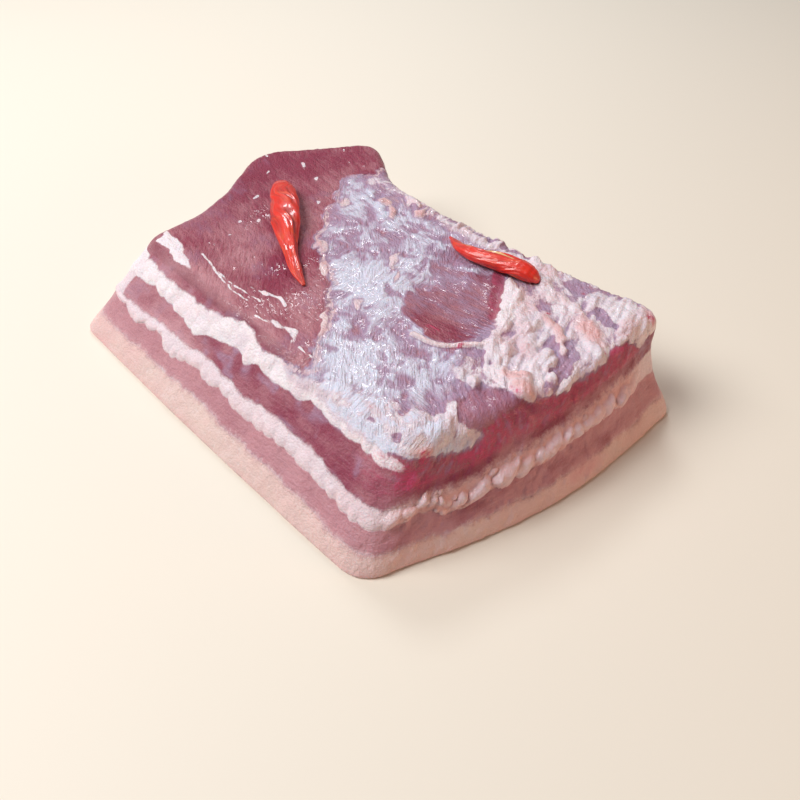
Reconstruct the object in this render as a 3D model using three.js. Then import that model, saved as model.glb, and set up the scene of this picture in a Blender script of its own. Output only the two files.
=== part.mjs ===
import * as THREE from "three";

// Slab of raw pork belly, lying on its rind, with two dried chillies on top.
// Millimetres, +Z up, origin in the middle under the slab. +X runs along the
// long cut face, which leans back on the -Y side; the short cut face is at +X.
// Every layer runs right through the slab and shares one set of stations
// round its edge, so neighbours meet along the same seam.

const THICKNESS = 42; // height of the slab's upper edge
const SEAM_GAP = 0.3; // clearance between two layers
const EDGE_ROUND = 4; // rounding where the sides turn into the top
const EDGE_LIP = 0.4; // how far below the top that rounding ends
const FOOT_ROUND = 1.2; // rounding of the rind's lower edge

// The slab's corners in plan at the underside and at the top, counter-clockwise,
// with the seam heights there: fat / lower lean / middle fat / upper lean / upper fat.
const CORNERS = {
  left: { base: [-104.5, -83.9], top: [-88, -49], round: 10, seams: [8.5, 17.5, 20, 26, 33] },
  front: { base: [92.5, -87.6], top: [84.5, -56], round: 14, seams: [7.5, 14, 20.5, 33, 39.5] },
  right: { base: [121.3, 65], top: [104, 67.5], round: 12, seams: [8.5, 19, 28, 37, 39.5] },
  back: { base: [-44.5, 65], top: [-43, 59.5], round: 14, seams: [9, 18, 25, 34, 39.5] },
  tip: { base: [-82, 90.7], top: [-81, 84.5], round: 12, seams: [9, 18, 24, 32, 35] },
  west: { base: [-122.2, 35], top: [-117.5, 34], round: 16, seams: [9, 18, 23, 30, 33.5] },
  notch: { base: [-107.5, -16], top: [-86, -16], round: 22, seams: [8.5, 17.5, 21, 27, 33] },
};
// The side that follows each corner: outward bow in plan at underside and top,
// rise of the seams in its middle, and the spacing of its stations.
const SIDES = {
  left: { bow: [1, 0.5], rise: [0, 2, 3.2, 3.5, 3.5], spacing: 5 },
  front: { bow: [8.5, 6], rise: [0, 2, 0, 1.5, 0], spacing: 5 },
  right: { bow: [-2, -3.5], rise: [0, 0, 0, 0, 0], spacing: 9 },
  back: { bow: [0, 0], rise: [0, 0, 0, 0, 0], spacing: 4 },
  tip: { bow: [0.5, 0.5], rise: [0, 0, 0, 0, 0], spacing: 8 },
  west: { bow: [0, 0], rise: [0, 0, 0, 0, 0], spacing: 9 },
  notch: { bow: [-1, 0], rise: [0, 0, 0, 0, 0], spacing: 8 },
};
const CORNER_STEPS = 4;
const PINCH = { corner: "right", depth: 4, reach: 45 }; // half-way up, drawn in round this corner

// Soft waves that each seam makes along the edge: height and length.
const SEAM_WAVES = [[0.4, 31], [1.1, 15], [0.6, 22], [0.7, 27], [0.4, 19]];
// How far each layer swells out of the side, bottom to top, and its rows there.
const LAYERS = [
  { name: "back_fat", colour: 0xe6b3a8, swell: 0.7, rows: 2 },
  { name: "lower_lean", colour: 0xd78c88, swell: 0.3, rows: 2 },
  { name: "middle_fat", colour: 0xecd2cd, swell: 1.1, rows: 3 },
  { name: "upper_lean", colour: 0xa33f4c, swell: 0.8, rows: 3 },
];
const UPPER_FAT = { name: "upper_fat", colour: 0xd9bcc4 };
const TOP_LEAN = { name: "top_lean", colour: 0x8c3344 };

const CENTRE = new THREE.Vector2(12, 0); // all stations are seen from here
// The edge of the top muscle across the slab, front end to back end.
const MUSCLE_EDGE = [[26, -58], [21, -42], [11, -28], [-28, 2], [-56, 32], [-70, 54], [-61, 78]];
const MUSCLE_EDGE_THICK = 1.2; // the muscle feathers out to this
const INNER_RINGS = 5;
const OUTER_RINGS = 5;
const MEMBRANE_REACH = 0.5; // where the rings change over, away from the muscle

// Relief of the top: the bare muscle window, the fat ridge round it and the lumps.
const WINDOW = { x: 42, y: 16, length: 54, width: 44, turn: 0.35, depth: 1.6 };
const RIDGE = { height: 1.5, size: 1.25, breadth: 0.22 };
const LUMPS = { height: 1.0, length: 30, start: 55, end: 80 };

const CHILLI_COLOUR = 0xc02818;
// Each lies along its spine from the stalk end to the tip. It narrows to its
// waist over one stretch of the spine and to the tip over another.
const CHILLIES = [
  {
    name: "chilli_long",
    spine: [[-82, 21.7], [-65.5, 11], [-48, -2], [-34.5, -11.2], [-19.5, -19.8], [-9, -24]],
    width: 13,
    height: 8,
    waist: 0.46,
    waistStretch: [0.42, 0.66],
    tipStretch: [0.8, 1.03],
  },
  {
    name: "chilli_short",
    spine: [[57, 46.2], [52, 45], [40.7, 42.7], [29, 40.2], [18, 40.5], [8, 45]],
    width: 9.8,
    height: 7.2,
    waist: 0.9,
    waistStretch: [0.3, 0.6],
    tipStretch: [0.62, 1.06],
  },
];
const CHILLI_SECTIONS = 14;
const CHILLI_SIDES = 12;
const CHILLI_CLEARANCE = 0.5;

const mix = THREE.MathUtils.lerp;
const smooth = THREE.MathUtils.smoothstep;

function buildStations() {
  const names = Object.keys(CORNERS);
  const stations = [];
  names.forEach((name, index) => {
    const before = CORNERS[names.at(index - 1)];
    const here = CORNERS[name];
    const after = CORNERS[names[(index + 1) % names.length]];
    const side = SIDES[name];
    const levels = ["base", "top"].map((level, at) => {
      const corner = new THREE.Vector2(...here[level]);
      const next = new THREE.Vector2(...after[level]);
      const last = new THREE.Vector2(...before[level]);
      const along = next.clone().sub(corner).normalize();
      const arriving = corner.clone().sub(last).normalize();
      const start = corner.clone().addScaledVector(along, here.round);
      const end = next.clone().addScaledVector(along, -after.round);
      const enter = corner.clone().addScaledVector(arriving, -here.round);
      const arc = new THREE.QuadraticBezierCurve(enter, corner, start);
      const outward = new THREE.Vector2(along.y, -along.x);
      return { arc, start, end, outward, bow: side.bow[at] };
    });
    for (let step = 0; step < CORNER_STEPS; step += 1) {
      const [base, top] = levels.map((level) => level.arc.getPoint(step / CORNER_STEPS));
      stations.push({ base, top, seams: [...here.seams] });
    }
    const length = levels[0].start.distanceTo(levels[0].end);
    const count = Math.max(2, Math.round(length / side.spacing));
    for (let step = 0; step < count; step += 1) {
      const share = step / count;
      const hump = Math.sin(Math.PI * share);
      const [base, top] = levels.map((level) =>
        level.start.clone().lerp(level.end, share).addScaledVector(level.outward, level.bow * hump));
      const seams = here.seams.map((height, seam) =>
        mix(height, after.seams[seam], smooth(share, 0, 1)) + side.rise[seam] * hump);
      stations.push({ base, top, seams });
    }
  });
  return stations;
}

function finishStations(stations) {
  const pinched = new THREE.Vector2(...CORNERS[PINCH.corner].base);
  let travelled = 0;
  stations.forEach((station, index) => {
    const next = stations[(index + 1) % stations.length];
    const last = stations.at(index - 1);
    const tangent = next.base.clone().sub(last.base).normalize();
    station.outward = new THREE.Vector2(tangent.y, -tangent.x);
    station.pinch = PINCH.depth * (1 - smooth(station.base.distanceTo(pinched), 0, PINCH.reach));
    station.travelled = travelled;
    travelled += station.base.distanceTo(next.base);
  });
  for (const station of stations) {
    station.seams = station.seams.map((height, seam) => {
      const [rise, length] = SEAM_WAVES[seam];
      const waves = Math.round(travelled / length);
      const phase = (2 * Math.PI * waves * station.travelled) / travelled + 1.7 * seam;
      return height + rise * Math.sin(phase);
    });
  }
  return stations;
}

// A point of the slab's side at one height, pushed outwards by swell.
function sidePoint(station, height, swell = 0) {
  const plan = station.base.clone().lerp(station.top, height / THICKNESS);
  const into = Math.max(0, height - (THICKNESS - EDGE_ROUND)) / EDGE_ROUND;
  const rounding = EDGE_ROUND * (1 - Math.sqrt(1 - Math.min(1, into) ** 2));
  const footing = FOOT_ROUND * Math.max(0, 1 - height / FOOT_ROUND) ** 2;
  const pinch = station.pinch * Math.sin((Math.PI * height) / THICKNESS) ** 2;
  plan.addScaledVector(station.outward, swell - rounding - footing - pinch);
  return new THREE.Vector3(plan.x, plan.y, height);
}

function topHeight(x, y) {
  const cos = Math.cos(WINDOW.turn);
  const sin = Math.sin(WINDOW.turn);
  const along = ((x - WINDOW.x) * cos + (y - WINDOW.y) * sin) / (WINDOW.length / 2);
  const across = ((y - WINDOW.y) * cos - (x - WINDOW.x) * sin) / (WINDOW.width / 2);
  const radius = Math.hypot(along, across);
  const hollow = -WINDOW.depth * (1 - smooth(radius, 0.5, 1.1));
  const facing = smooth(along - across, -0.6, 0.8);
  const ridge = RIDGE.height * facing * Math.exp(-(((radius - RIDGE.size) / RIDGE.breadth) ** 2));
  const wave = (2 * Math.PI) / LUMPS.length;
  const pattern = Math.sin(wave * x) * Math.sin(wave * y + 1);
  const lumps = LUMPS.height * smooth(x, LUMPS.start, LUMPS.end) * pattern;
  return THICKNESS + hollow + ridge + lumps;
}

// Top height that settles to the rounded edge as share reaches 1 there.
function cappedHeight(x, y, share) {
  return mix(THICKNESS - EDGE_LIP, topHeight(x, y), 1 - smooth(share, 0.86, 1));
}

function addMuscleEdge(stations) {
  const curve = new THREE.SplineCurve(MUSCLE_EDGE.map(([x, y]) => new THREE.Vector2(x, y)));
  const fullTurn = 2 * Math.PI;
  const angleOf = (point) => (Math.atan2(point.y - CENTRE.y, point.x - CENTRE.x) + fullTurn) % fullTurn;
  const samples = curve.getPoints(400).map((point) => ({
    angle: angleOf(point),
    radius: point.distanceTo(CENTRE),
  }));
  const [frontAngle, backAngle] = [samples[0].angle, samples.at(-1).angle];
  for (const station of stations) {
    const rim = sidePoint(station, THICKNESS - EDGE_LIP);
    const reach = Math.hypot(rim.x - CENTRE.x, rim.y - CENTRE.y);
    const angle = angleOf(rim);
    station.rim = rim;
    station.reach = reach;
    let share = 1;
    if (angle > backAngle && angle < frontAngle) {
      const nearest = samples.reduce((best, sample) =>
        (Math.abs(sample.angle - angle) < Math.abs(best.angle - angle) ? sample : best));
      share = nearest.radius / reach;
    }
    station.underMuscle = share < 0.93;
    const beyond = Math.min(Math.abs(angle - backAngle), Math.abs(angle - frontAngle),
      fullTurn - frontAngle + angle);
    const away = mix(MEMBRANE_REACH, 0.93, Math.exp(-beyond / 0.3));
    station.split = station.underMuscle ? share : away;
  }
}

// Index of rows is [row][station]; closed rings are joined into one skin.
function ringSkin(rows) {
  const skin = { points: [], faces: [] };
  const count = rows[0].length;
  rows.flat().forEach((point) => skin.points.push(point));
  for (let row = 0; row + 1 < rows.length; row += 1) {
    for (let at = 0; at < count; at += 1) {
      const next = (at + 1) % count;
      const [a, b] = [row * count + at, row * count + next];
      const [c, d] = [a + count, b + count];
      skin.faces.push([a, b, d], [a, d, c]);
    }
  }
  return skin;
}

function closeRing(skin, first, count, middle, upward) {
  const hub = skin.points.push(middle) - 1;
  for (let at = 0; at < count; at += 1) {
    const next = (at + 1) % count;
    skin.faces.push(upward ? [hub, first + at, first + next] : [hub, first + next, first + at]);
  }
}

function toMesh(name, colour, roughness, skin) {
  const geometry = new THREE.BufferGeometry();
  geometry.setAttribute("position",
    new THREE.Float32BufferAttribute(skin.points.flatMap((point) => point.toArray()), 3));
  geometry.setIndex(skin.faces.flat());
  geometry.computeVertexNormals();
  const material = new THREE.MeshStandardMaterial({ color: colour, roughness, metalness: 0 });
  const mesh = new THREE.Mesh(geometry, material);
  mesh.name = name;
  return mesh;
}

function meanSeam(stations, seam) {
  return stations.reduce((sum, station) => sum + station.seams[seam], 0) / stations.length;
}

// A layer between two seams; the lowest one stands on the flat underside.
function layerMesh(stations, index) {
  const { name, colour, swell, rows } = LAYERS[index];
  const floor = index === 0;
  const rings = [];
  for (let row = 0; row <= rows; row += 1) {
    const share = row / rows;
    rings.push(stations.map((station) => {
      const low = floor ? 0 : station.seams[index - 1] + SEAM_GAP / 2;
      const high = station.seams[index] - SEAM_GAP / 2;
      return sidePoint(station, mix(low, high, share), swell * Math.sin(Math.PI * share));
    }));
  }
  if (floor) {
    rings.splice(1, 0, stations.map((station) => sidePoint(station, FOOT_ROUND, 0.2)));
  }
  const skin = ringSkin(rings);
  const low = floor ? 0 : meanSeam(stations, index - 1) + SEAM_GAP / 2;
  const high = meanSeam(stations, index) - SEAM_GAP / 2;
  closeRing(skin, 0, stations.length, new THREE.Vector3(CENTRE.x, CENTRE.y, low), false);
  closeRing(skin, (rings.length - 1) * stations.length, stations.length,
    new THREE.Vector3(CENTRE.x, CENTRE.y, high), true);
  return toMesh(name, colour, 0.5, skin);
}

function planPoint(station, share) {
  return new THREE.Vector2(mix(CENTRE.x, station.rim.x, share), mix(CENTRE.y, station.rim.y, share));
}

function topPoint(station, share) {
  const plan = planPoint(station, share);
  return new THREE.Vector3(plan.x, plan.y, cappedHeight(plan.x, plan.y, share));
}

// The muscle's underside: thin at its edge across the slab, seam height at the side.
function muscleFloor(station, progress, share) {
  const seam = Math.min(station.seams[4], THICKNESS - EDGE_LIP - MUSCLE_EDGE_THICK);
  const above = topPoint(station, share);
  const thick = mix(MUSCLE_EDGE_THICK, THICKNESS - EDGE_LIP - seam, smooth(progress, 0, 1));
  if (progress < 1) {
    const settle = smooth(progress, 0.6, 1);
    const target = sidePoint(station, seam);
    const plan = planPoint(station, share);
    plan.lerp(new THREE.Vector2(target.x, target.y), settle * progress);
    return new THREE.Vector3(plan.x, plan.y, above.z - thick);
  }
  return sidePoint(station, seam);
}

function upperFatMesh(stations) {
  const rings = [];
  const sideRows = [0, 0.3, 0.55, 0.75, 0.9, 1];
  for (const share of sideRows) {
    rings.push(stations.map((station) => {
      const low = station.seams[3] + SEAM_GAP / 2;
      const seam = Math.min(station.seams[4], THICKNESS - EDGE_LIP - MUSCLE_EDGE_THICK);
      const high = station.underMuscle ? seam - SEAM_GAP : THICKNESS - EDGE_LIP;
      return sidePoint(station, mix(low, high, share), 0.8 * Math.sin(Math.PI * share));
    }));
  }
  for (let ring = OUTER_RINGS - 1; ring >= 0; ring -= 1) {
    rings.push(stations.map((station) => {
      const progress = ring / OUTER_RINGS;
      const start = station.split + 0.4 / station.reach;
      const share = mix(start, 1, progress);
      if (!station.underMuscle) return topPoint(station, share);
      const floor = muscleFloor(station, progress, share);
      floor.z -= SEAM_GAP;
      return floor;
    }));
  }
  for (let ring = INNER_RINGS; ring > 0; ring -= 1) {
    rings.push(stations.map((station) => topPoint(station, (station.split * ring) / INNER_RINGS)));
  }
  const skin = ringSkin(rings);
  const low = meanSeam(stations, 3) + SEAM_GAP / 2;
  closeRing(skin, 0, stations.length, new THREE.Vector3(CENTRE.x, CENTRE.y, low), false);
  const last = (rings.length - 1) * stations.length;
  const peak = new THREE.Vector3(CENTRE.x, CENTRE.y, topHeight(CENTRE.x, CENTRE.y));
  closeRing(skin, last, stations.length, peak, true);
  return toMesh(UPPER_FAT.name, UPPER_FAT.colour, 0.4, skin);
}

// The stations that the top muscle covers, in order from its back end.
function muscleStations(stations) {
  const first = stations.findIndex((station, index) =>
    station.underMuscle && !stations.at(index - 1).underMuscle);
  const turned = [...stations.slice(first), ...stations.slice(0, first)];
  return turned.filter((station) => station.underMuscle);
}

// Each station gives one closed section of the muscle; the sections are joined
// in order and the first and last are capped.
function topLeanMesh(stations) {
  const sections = muscleStations(stations).map((station) => {
    const section = [];
    const start = station.split + 0.8 / station.reach;
    for (let ring = 0; ring <= OUTER_RINGS; ring += 1) {
      const progress = ring / OUTER_RINGS;
      section.push(muscleFloor(station, progress, mix(start, 1, progress)));
    }
    const seam = section.at(-1).z;
    for (const share of [0.35, 0.7]) {
      const z = mix(seam, THICKNESS - EDGE_LIP, share);
      section.push(sidePoint(station, z, 0.6 * Math.sin(Math.PI * share)));
    }
    for (let ring = OUTER_RINGS; ring >= 0; ring -= 1) {
      section.push(topPoint(station, mix(start, 1, ring / OUTER_RINGS)));
    }
    return section;
  });
  const size = sections[0].length;
  const skin = { points: sections.flat(), faces: [] };
  for (let at = 0; at + 1 < sections.length; at += 1) {
    for (let row = 0; row < size; row += 1) {
      const next = (row + 1) % size;
      const [a, b] = [at * size + row, at * size + next];
      const [c, d] = [a + size, b + size];
      skin.faces.push([a, c, d], [a, d, b]);
    }
  }
  const end = (sections.length - 1) * size;
  for (let ring = 0; ring < OUTER_RINGS; ring += 1) {
    const [low, high] = [ring, size - 1 - ring];
    skin.faces.push([low, low + 1, high - 1], [low, high - 1, high]);
    skin.faces.push([end + low, end + high - 1, end + low + 1], [end + low, end + high, end + high - 1]);
  }
  const [floorEnd, roofEnd] = [OUTER_RINGS, size - 1 - OUTER_RINGS];
  for (const start of [0, end]) {
    const fan = [];
    for (let row = floorEnd + 1; row < roofEnd; row += 1) {
      fan.push([start + floorEnd, start + row, start + row + 1]);
    }
    fan.forEach(([a, b, c]) => skin.faces.push(start === 0 ? [a, b, c] : [a, c, b]));
  }
  return toMesh(TOP_LEAN.name, TOP_LEAN.colour, 0.45, skin);
}

function chilliGirth(share, { waist, waistStretch, tipStretch }) {
  const stalkEnd = Math.min(1, Math.sqrt(share / 0.08));
  const narrowing = mix(1, waist, smooth(share, ...waistStretch));
  const tip = Math.sqrt(1 - smooth(share, ...tipStretch));
  return stalkEnd * narrowing * tip;
}

function chilliMesh(chilli) {
  const { name, spine, width, height } = chilli;
  const curve = new THREE.SplineCurve(spine.map(([x, y]) => new THREE.Vector2(x, y)));
  const rings = [];
  for (let at = 0; at < CHILLI_SECTIONS; at += 1) {
    const share = (at + 0.35) / (CHILLI_SECTIONS - 0.3);
    const middle = curve.getPoint(share);
    const tangent = curve.getTangent(share);
    const across = new THREE.Vector2(-tangent.y, tangent.x);
    const body = chilliGirth(share, chilli);
    const ring = [];
    for (let side = 0; side < CHILLI_SIDES; side += 1) {
      const angle = (2 * Math.PI * side) / CHILLI_SIDES;
      const crease = 1 + 0.08 * Math.sin(3 * angle + 9 * share);
      const plan = middle.clone().addScaledVector(across, (width / 2) * body * crease * Math.cos(angle));
      const rest = topHeight(middle.x, middle.y) + CHILLI_CLEARANCE;
      const level = rest + (height / 2) * body * (1 + crease * Math.sin(angle));
      const clear = topHeight(plan.x, plan.y) + CHILLI_CLEARANCE;
      ring.push(new THREE.Vector3(plan.x, plan.y, Math.max(level, clear)));
    }
    rings.push(ring);
  }
  const skin = ringSkin(rings);
  for (const [share, ring] of [[0, 0], [1, CHILLI_SECTIONS - 1]]) {
    const tip = curve.getPoint(share);
    const level = topHeight(tip.x, tip.y) + CHILLI_CLEARANCE + (ring === 0 ? 0.4 * height : 0.6);
    closeRing(skin, ring * CHILLI_SIDES, CHILLI_SIDES, new THREE.Vector3(tip.x, tip.y, level), ring > 0);
  }
  return toMesh(name, CHILLI_COLOUR, 0.3, skin);
}

const stations = finishStations(buildStations());
addMuscleEdge(stations);

const slab = new THREE.Group();
LAYERS.forEach((_, index) => slab.add(layerMesh(stations, index)));
slab.add(upperFatMesh(stations), topLeanMesh(stations));
CHILLIES.forEach((chilli) => slab.add(chilliMesh(chilli)));

export default slab;
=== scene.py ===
"""Raw pork belly slab with two dried chillies, dressed over its solid frame.

All working sizes are millimetres. The slab stands on z = 0 with its rind down;
+X and -Y are its two cut faces, and the muscle covers the -X end of its top.
"""

import math

import bpy
import numpy as np
from mathutils import Matrix, Vector


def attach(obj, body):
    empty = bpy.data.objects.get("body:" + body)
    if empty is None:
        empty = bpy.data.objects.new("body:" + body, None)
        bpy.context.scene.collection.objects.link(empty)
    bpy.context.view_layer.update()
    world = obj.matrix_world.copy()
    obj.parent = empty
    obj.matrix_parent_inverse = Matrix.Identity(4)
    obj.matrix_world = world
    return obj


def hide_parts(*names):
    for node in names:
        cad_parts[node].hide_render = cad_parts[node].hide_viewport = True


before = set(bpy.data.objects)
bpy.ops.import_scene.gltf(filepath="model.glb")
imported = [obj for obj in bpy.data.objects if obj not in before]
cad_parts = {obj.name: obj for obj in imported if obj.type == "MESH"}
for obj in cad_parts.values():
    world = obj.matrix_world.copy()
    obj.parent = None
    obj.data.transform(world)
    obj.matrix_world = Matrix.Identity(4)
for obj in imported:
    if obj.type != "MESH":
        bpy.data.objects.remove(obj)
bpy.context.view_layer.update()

bl_info = {
    "name": "Pork Belly Slab",
    "version": (1, 0, 0),
    "blender": (4, 5, 0),
    "location": "View3D > Sidebar > Pork Belly",
    "description": "Builds a raw pork belly slab with two dried chillies on it",
    "category": "Add Mesh",
}

MM = 0.001
THICKNESS = 42.0
EDGE_ROUND = 4.0
FOOT_ROUND = 1.2
COLUMNS = 1400  # stations round the slab's side
TOP_STEP = 0.54  # spacing of the points across the top
HIDDEN_STEP = 14.0  # the same on inner faces that nothing shows
RIND_STEP = 6.0  # and on the underside
FOOT_ROW = 0.35  # height of one more row of points, where the foot turns under
SLAB_CENTRE = (12.0, 0.0)
SHARP_ANGLE = 62.0  # edges that turn more than this stay crisp, in degrees

# Corners in plan, counter-clockwise: at the underside, at the top, corner rounding.
CORNERS = [
    ((-104.5, -83.9), (-88, -49), 10),  # left
    ((92.5, -87.6), (84.5, -56), 14),  # front
    ((121.3, 65), (104, 67.5), 12),  # right
    ((-44.5, 65), (-43, 59.5), 14),  # back
    ((-82, 90.7), (-81, 84.5), 12),  # tip
    ((-122.2, 35), (-117.5, 34), 16),  # west
    ((-107.5, -16), (-86, -16), 22),  # notch
]
# Outward bow of the side after each corner, at the underside and at the top.
BOWS = [(1, 0.5), (8.5, 6), (-2, -3.5), (0, 0), (0.5, 0.5), (0, 0), (-1, 0)]
PINCH_CORNER = 2
PINCH_DEPTH = 4.0
PINCH_REACH = 45.0

# Heights of the seams along the underside's outline: distance and height.
SEAMS = {
    "back_fat": [(8, 8.5), (50, 9.4), (100, 9.8), (150, 9.2), (201, 7.6), (240, 8.6), (300, 9),
                 (353, 8.5), (430, 9), (516, 9), (559, 9), (624, 9), (676, 8.5)],
    "lower_lean": [(8, 17.8), (20, 18.6), (29, 17.4), (33, 16), (42, 17.4), (55, 18.2), (61, 15.6),
                   (69, 15.8), (80, 18), (86, 18.7), (93, 16.8), (100, 18.4), (120, 17), (150, 18),
                   (165, 16.6), (180, 15.6), (201, 15.2), (213, 17.2), (220, 17.6), (226, 15.6),
                   (233, 14.6), (240, 16.6), (255, 18.2), (262, 17), (270, 18.5), (285, 20), (303, 21),
                   (330, 20.5), (353, 19), (430, 19), (516, 18), (559, 18), (624, 18), (676, 17.5)],
    "middle_fat": [(8, 20), (20, 20.2), (50, 21), (70, 22), (88, 23.6), (100, 22.2), (120, 22.5),
                   (140, 24), (150, 23), (160, 23.5), (180, 20.6), (201, 20.6), (225, 21.6), (240, 23),
                   (260, 24.3), (280, 26), (300, 27.2), (353, 28.5), (430, 27), (516, 25), (559, 24),
                   (624, 23), (676, 21)],
    "upper_lean": [(8, 27.5), (15, 29.8), (25, 29.3), (35, 30.6), (40, 29), (60, 28.2), (70, 27),
                   (80, 30), (90, 31), (100, 33), (108, 30.6), (117, 33.4), (125, 32.2), (140, 33),
                   (150, 34.6), (165, 33.6), (201, 33), (240, 33.8), (300, 35.6), (353, 37), (430, 36),
                   (516, 34), (559, 32), (624, 30), (676, 27)],
    "upper_fat": [(8, 34.5), (20, 36), (50, 35.5), (70, 36), (85, 38), (90, 39.6), (96, 40.6),
                  (105, 39), (112, 37.5), (120, 38), (130, 40.2), (136, 40.8), (201, 40.8), (516, 40.4),
                  (536, 40), (548, 37), (559, 35), (624, 33.5), (676, 33)],
}
# Layers that run right through: rows of points, material slot, wetness, grain, shade of the fat.
SOLID_LAYERS = {
    "back_fat": (16, "rind_fat", 0.8, 0.85, 0.75),
    "lower_lean": (15, "pale_lean", 0.8, 0.7, 0.6),
    "middle_fat": (15, "seam_fat", 0.9, 0.75, 0.6),
    "upper_lean": (17, "red_lean", 0.9, 0.8, 0.6),
}
LAYER_STREAKS, TOP_STREAKS = 0.34, 0.7  # how much the fibres streak the lean
UPPER_FAT_ROWS = 15
TOP_LEAN_ROWS = 13

# Lobes of fat that hang over the lean below them: width, depth, bead height.
LOBES = {"lower_lean": (9.0, 1.0, 0.55), "upper_lean": (10.0, 1.0, 0.5)}
CUT_FACE_LOBES = {"lower_lean": (9.5, 0.6, 0.0), "upper_lean": (9.5, 0.5, 0.0)}
CUT_FACE = (205.0, 350.0)  # the +X face along the outline
LOBED_X, LOBED_Y = (-60, 118), (-72, 66)  # the part of the top that can have heaped lobes

# Edge where the muscle's piece meets the fat's piece across the top.
PIECE_EDGE = [(26, -52), (21, -42), (11, -28), (-12, -10), (-28, 2), (-44, 19), (-54, 34), (-60, 50),
              (-60, 68)]
PIECE_EDGE_DEPTH = 3.0
PIECE_EDGE_STEP = 0.75
# Plan points towards which the two parts of the top, and the muscle's hidden seat, are filled in.
FAT_CENTRE, MUSCLE_CENTRE, SEAT_CENTRE = (30, -8), (-58, 4), (-55, 0)
SEAT_LEVEL = 35.0

# Plan outlines on the top.
MUSCLE = [(-66, 78), (-58, 66), (-56.5, 60), (-62, 56.5), (-65, 50), (-63.5, 45), (-59.5, 40),
          (-56.5, 34), (-51, 28.5), (-50, 23), (-46.5, 18), (-41.5, 14.5), (-37.5, 11), (-36, 5),
          (-31.5, 0), (-27, -4), (-22, -5.5), (-17, -9), (-9, -10.5), (-3, -15), (0, -20), (4.5, -25),
          (9.5, -27), (12.5, -31), (15.5, -35.5), (19.5, -40.5), (22, -43.5), (26, -48.5), (31, -54),
          (29, -57), (22, -58), (12, -60), (-20, -66), (-95, -66), (-130, 30), (-85, 95)]
WINDOW = [(17.5, 24), (21, 28.5), (26, 30.5), (33, 31), (38, 36), (41, 41.5), (43.5, 40), (47, 33),
          (51, 26.5), (55, 20.5), (57.5, 16), (61, 14), (63.5, 10), (65, 5), (64, 1), (60.5, -3),
          (58, -8), (52.5, -11), (47, -12.5), (42, -10), (36, -8.5), (30, -7), (26.5, -2), (22, 4.5),
          (25, 8), (20.5, 9.5), (26.5, 12), (25, 16.5), (20, 19.5)]
SECOND_WINDOW = [(79.5, -18.5), (84, -16), (90, -14), (96, -11.5), (102, -9), (106, -16), (106, -30),
                 (101, -36.5), (96, -34), (92, -36), (87, -35.5), (84.5, -32), (80, -28.5), (78.5, -23)]
RIM = [(112, 45), (103.5, 41), (101.5, 33), (103.5, 24), (104.5, 14), (104.5, 5), (103, -1), (99.5, -6),
       (97, -13), (95, -22), (95.5, -31), (98, -37), (99, -42), (97, -47), (94.5, -51.5), (92.5, -55),
       (89.5, -58.5), (85, -62), (78, -65), (66, -66.2), (66, -76), (135, -76), (135, 45)]
WHITE_RIDGE = [(45.5, 42), (50, 39.5), (55, 36.5), (59, 32), (61, 28), (64, 22), (66.5, 17),
               (66.5, 12.5), (63, 12.5), (60, 15), (57.5, 17), (55, 22), (52, 28), (49, 33), (46.5, 37)]
WHITE_WEDGE = [(-84, -41), (-77, -41.3), (-70, -42), (-62, -45.8), (-52, -50.4), (-56.5, -50.2),
               (-63, -51.6), (-66.5, -50), (-70, -47.6), (-76, -48), (-84, -48)]
FRONT_WEDGE = [(-4, -47), (4, -46.8), (9, -43), (11.5, -44), (14.5, -48.6), (7, -47.6), (0, -48)]
RED_STRIP = [(40, 42.5), (44, 37), (48, 30.5), (52, 24), (56, 17.5)]
LIP = [(44, -14.5), (50, -13.5), (55, -11.5), (59, -7.5), (63, -3.5), (67, 1)]
TENDONS = [
    ([(-58, -40.5), (-50, -41.5), (-42, -44), (-33, -45.6), (-25, -46.6), (-18, -46)], 0.7, 0.8),
    ([(-42, -43), (-33, -44), (-25, -43.5), (-14, -42.6)], 0.7, 0.75),
    ([(-18, -37.8), (-14, -37.2), (-10, -36), (-5, -37.4)], 1.0, 0.95),
    ([(-24, -39.4), (-15, -38.6)], 0.9, 0.6),
    ([(13, -48), (17, -52.5)], 0.7, 0.6),
    ([(19, -49.6), (28, -49.6)], 0.6, 0.8),
    ([(22, -51), (28.5, -53.4)], 0.6, 0.7),
    ([(-8, -49.6), (-2, -48.4)], 0.8, 0.8),
    ([(-70, -38.5), (-52, -39.5), (-40, -36)], 0.8, 0.35),
    ([(-57, -30), (-53, -35)], 0.9, 0.3),
]
FAT_SPECKS = [(-89, 41, 2.2), (-74, 37, 2.8), (-108, 34, 1.8), (-96, 24.5, 1.5), (-56, 24, 1.9),
              (-80, 4.5, 1.8), (-63, -7, 2.4), (-67, -13, 1.6), (-63, -22, 1.6), (-87, 66, 1.4),
              (-97, 57, 1.2), (-48, -58.5, 1.6)]
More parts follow.
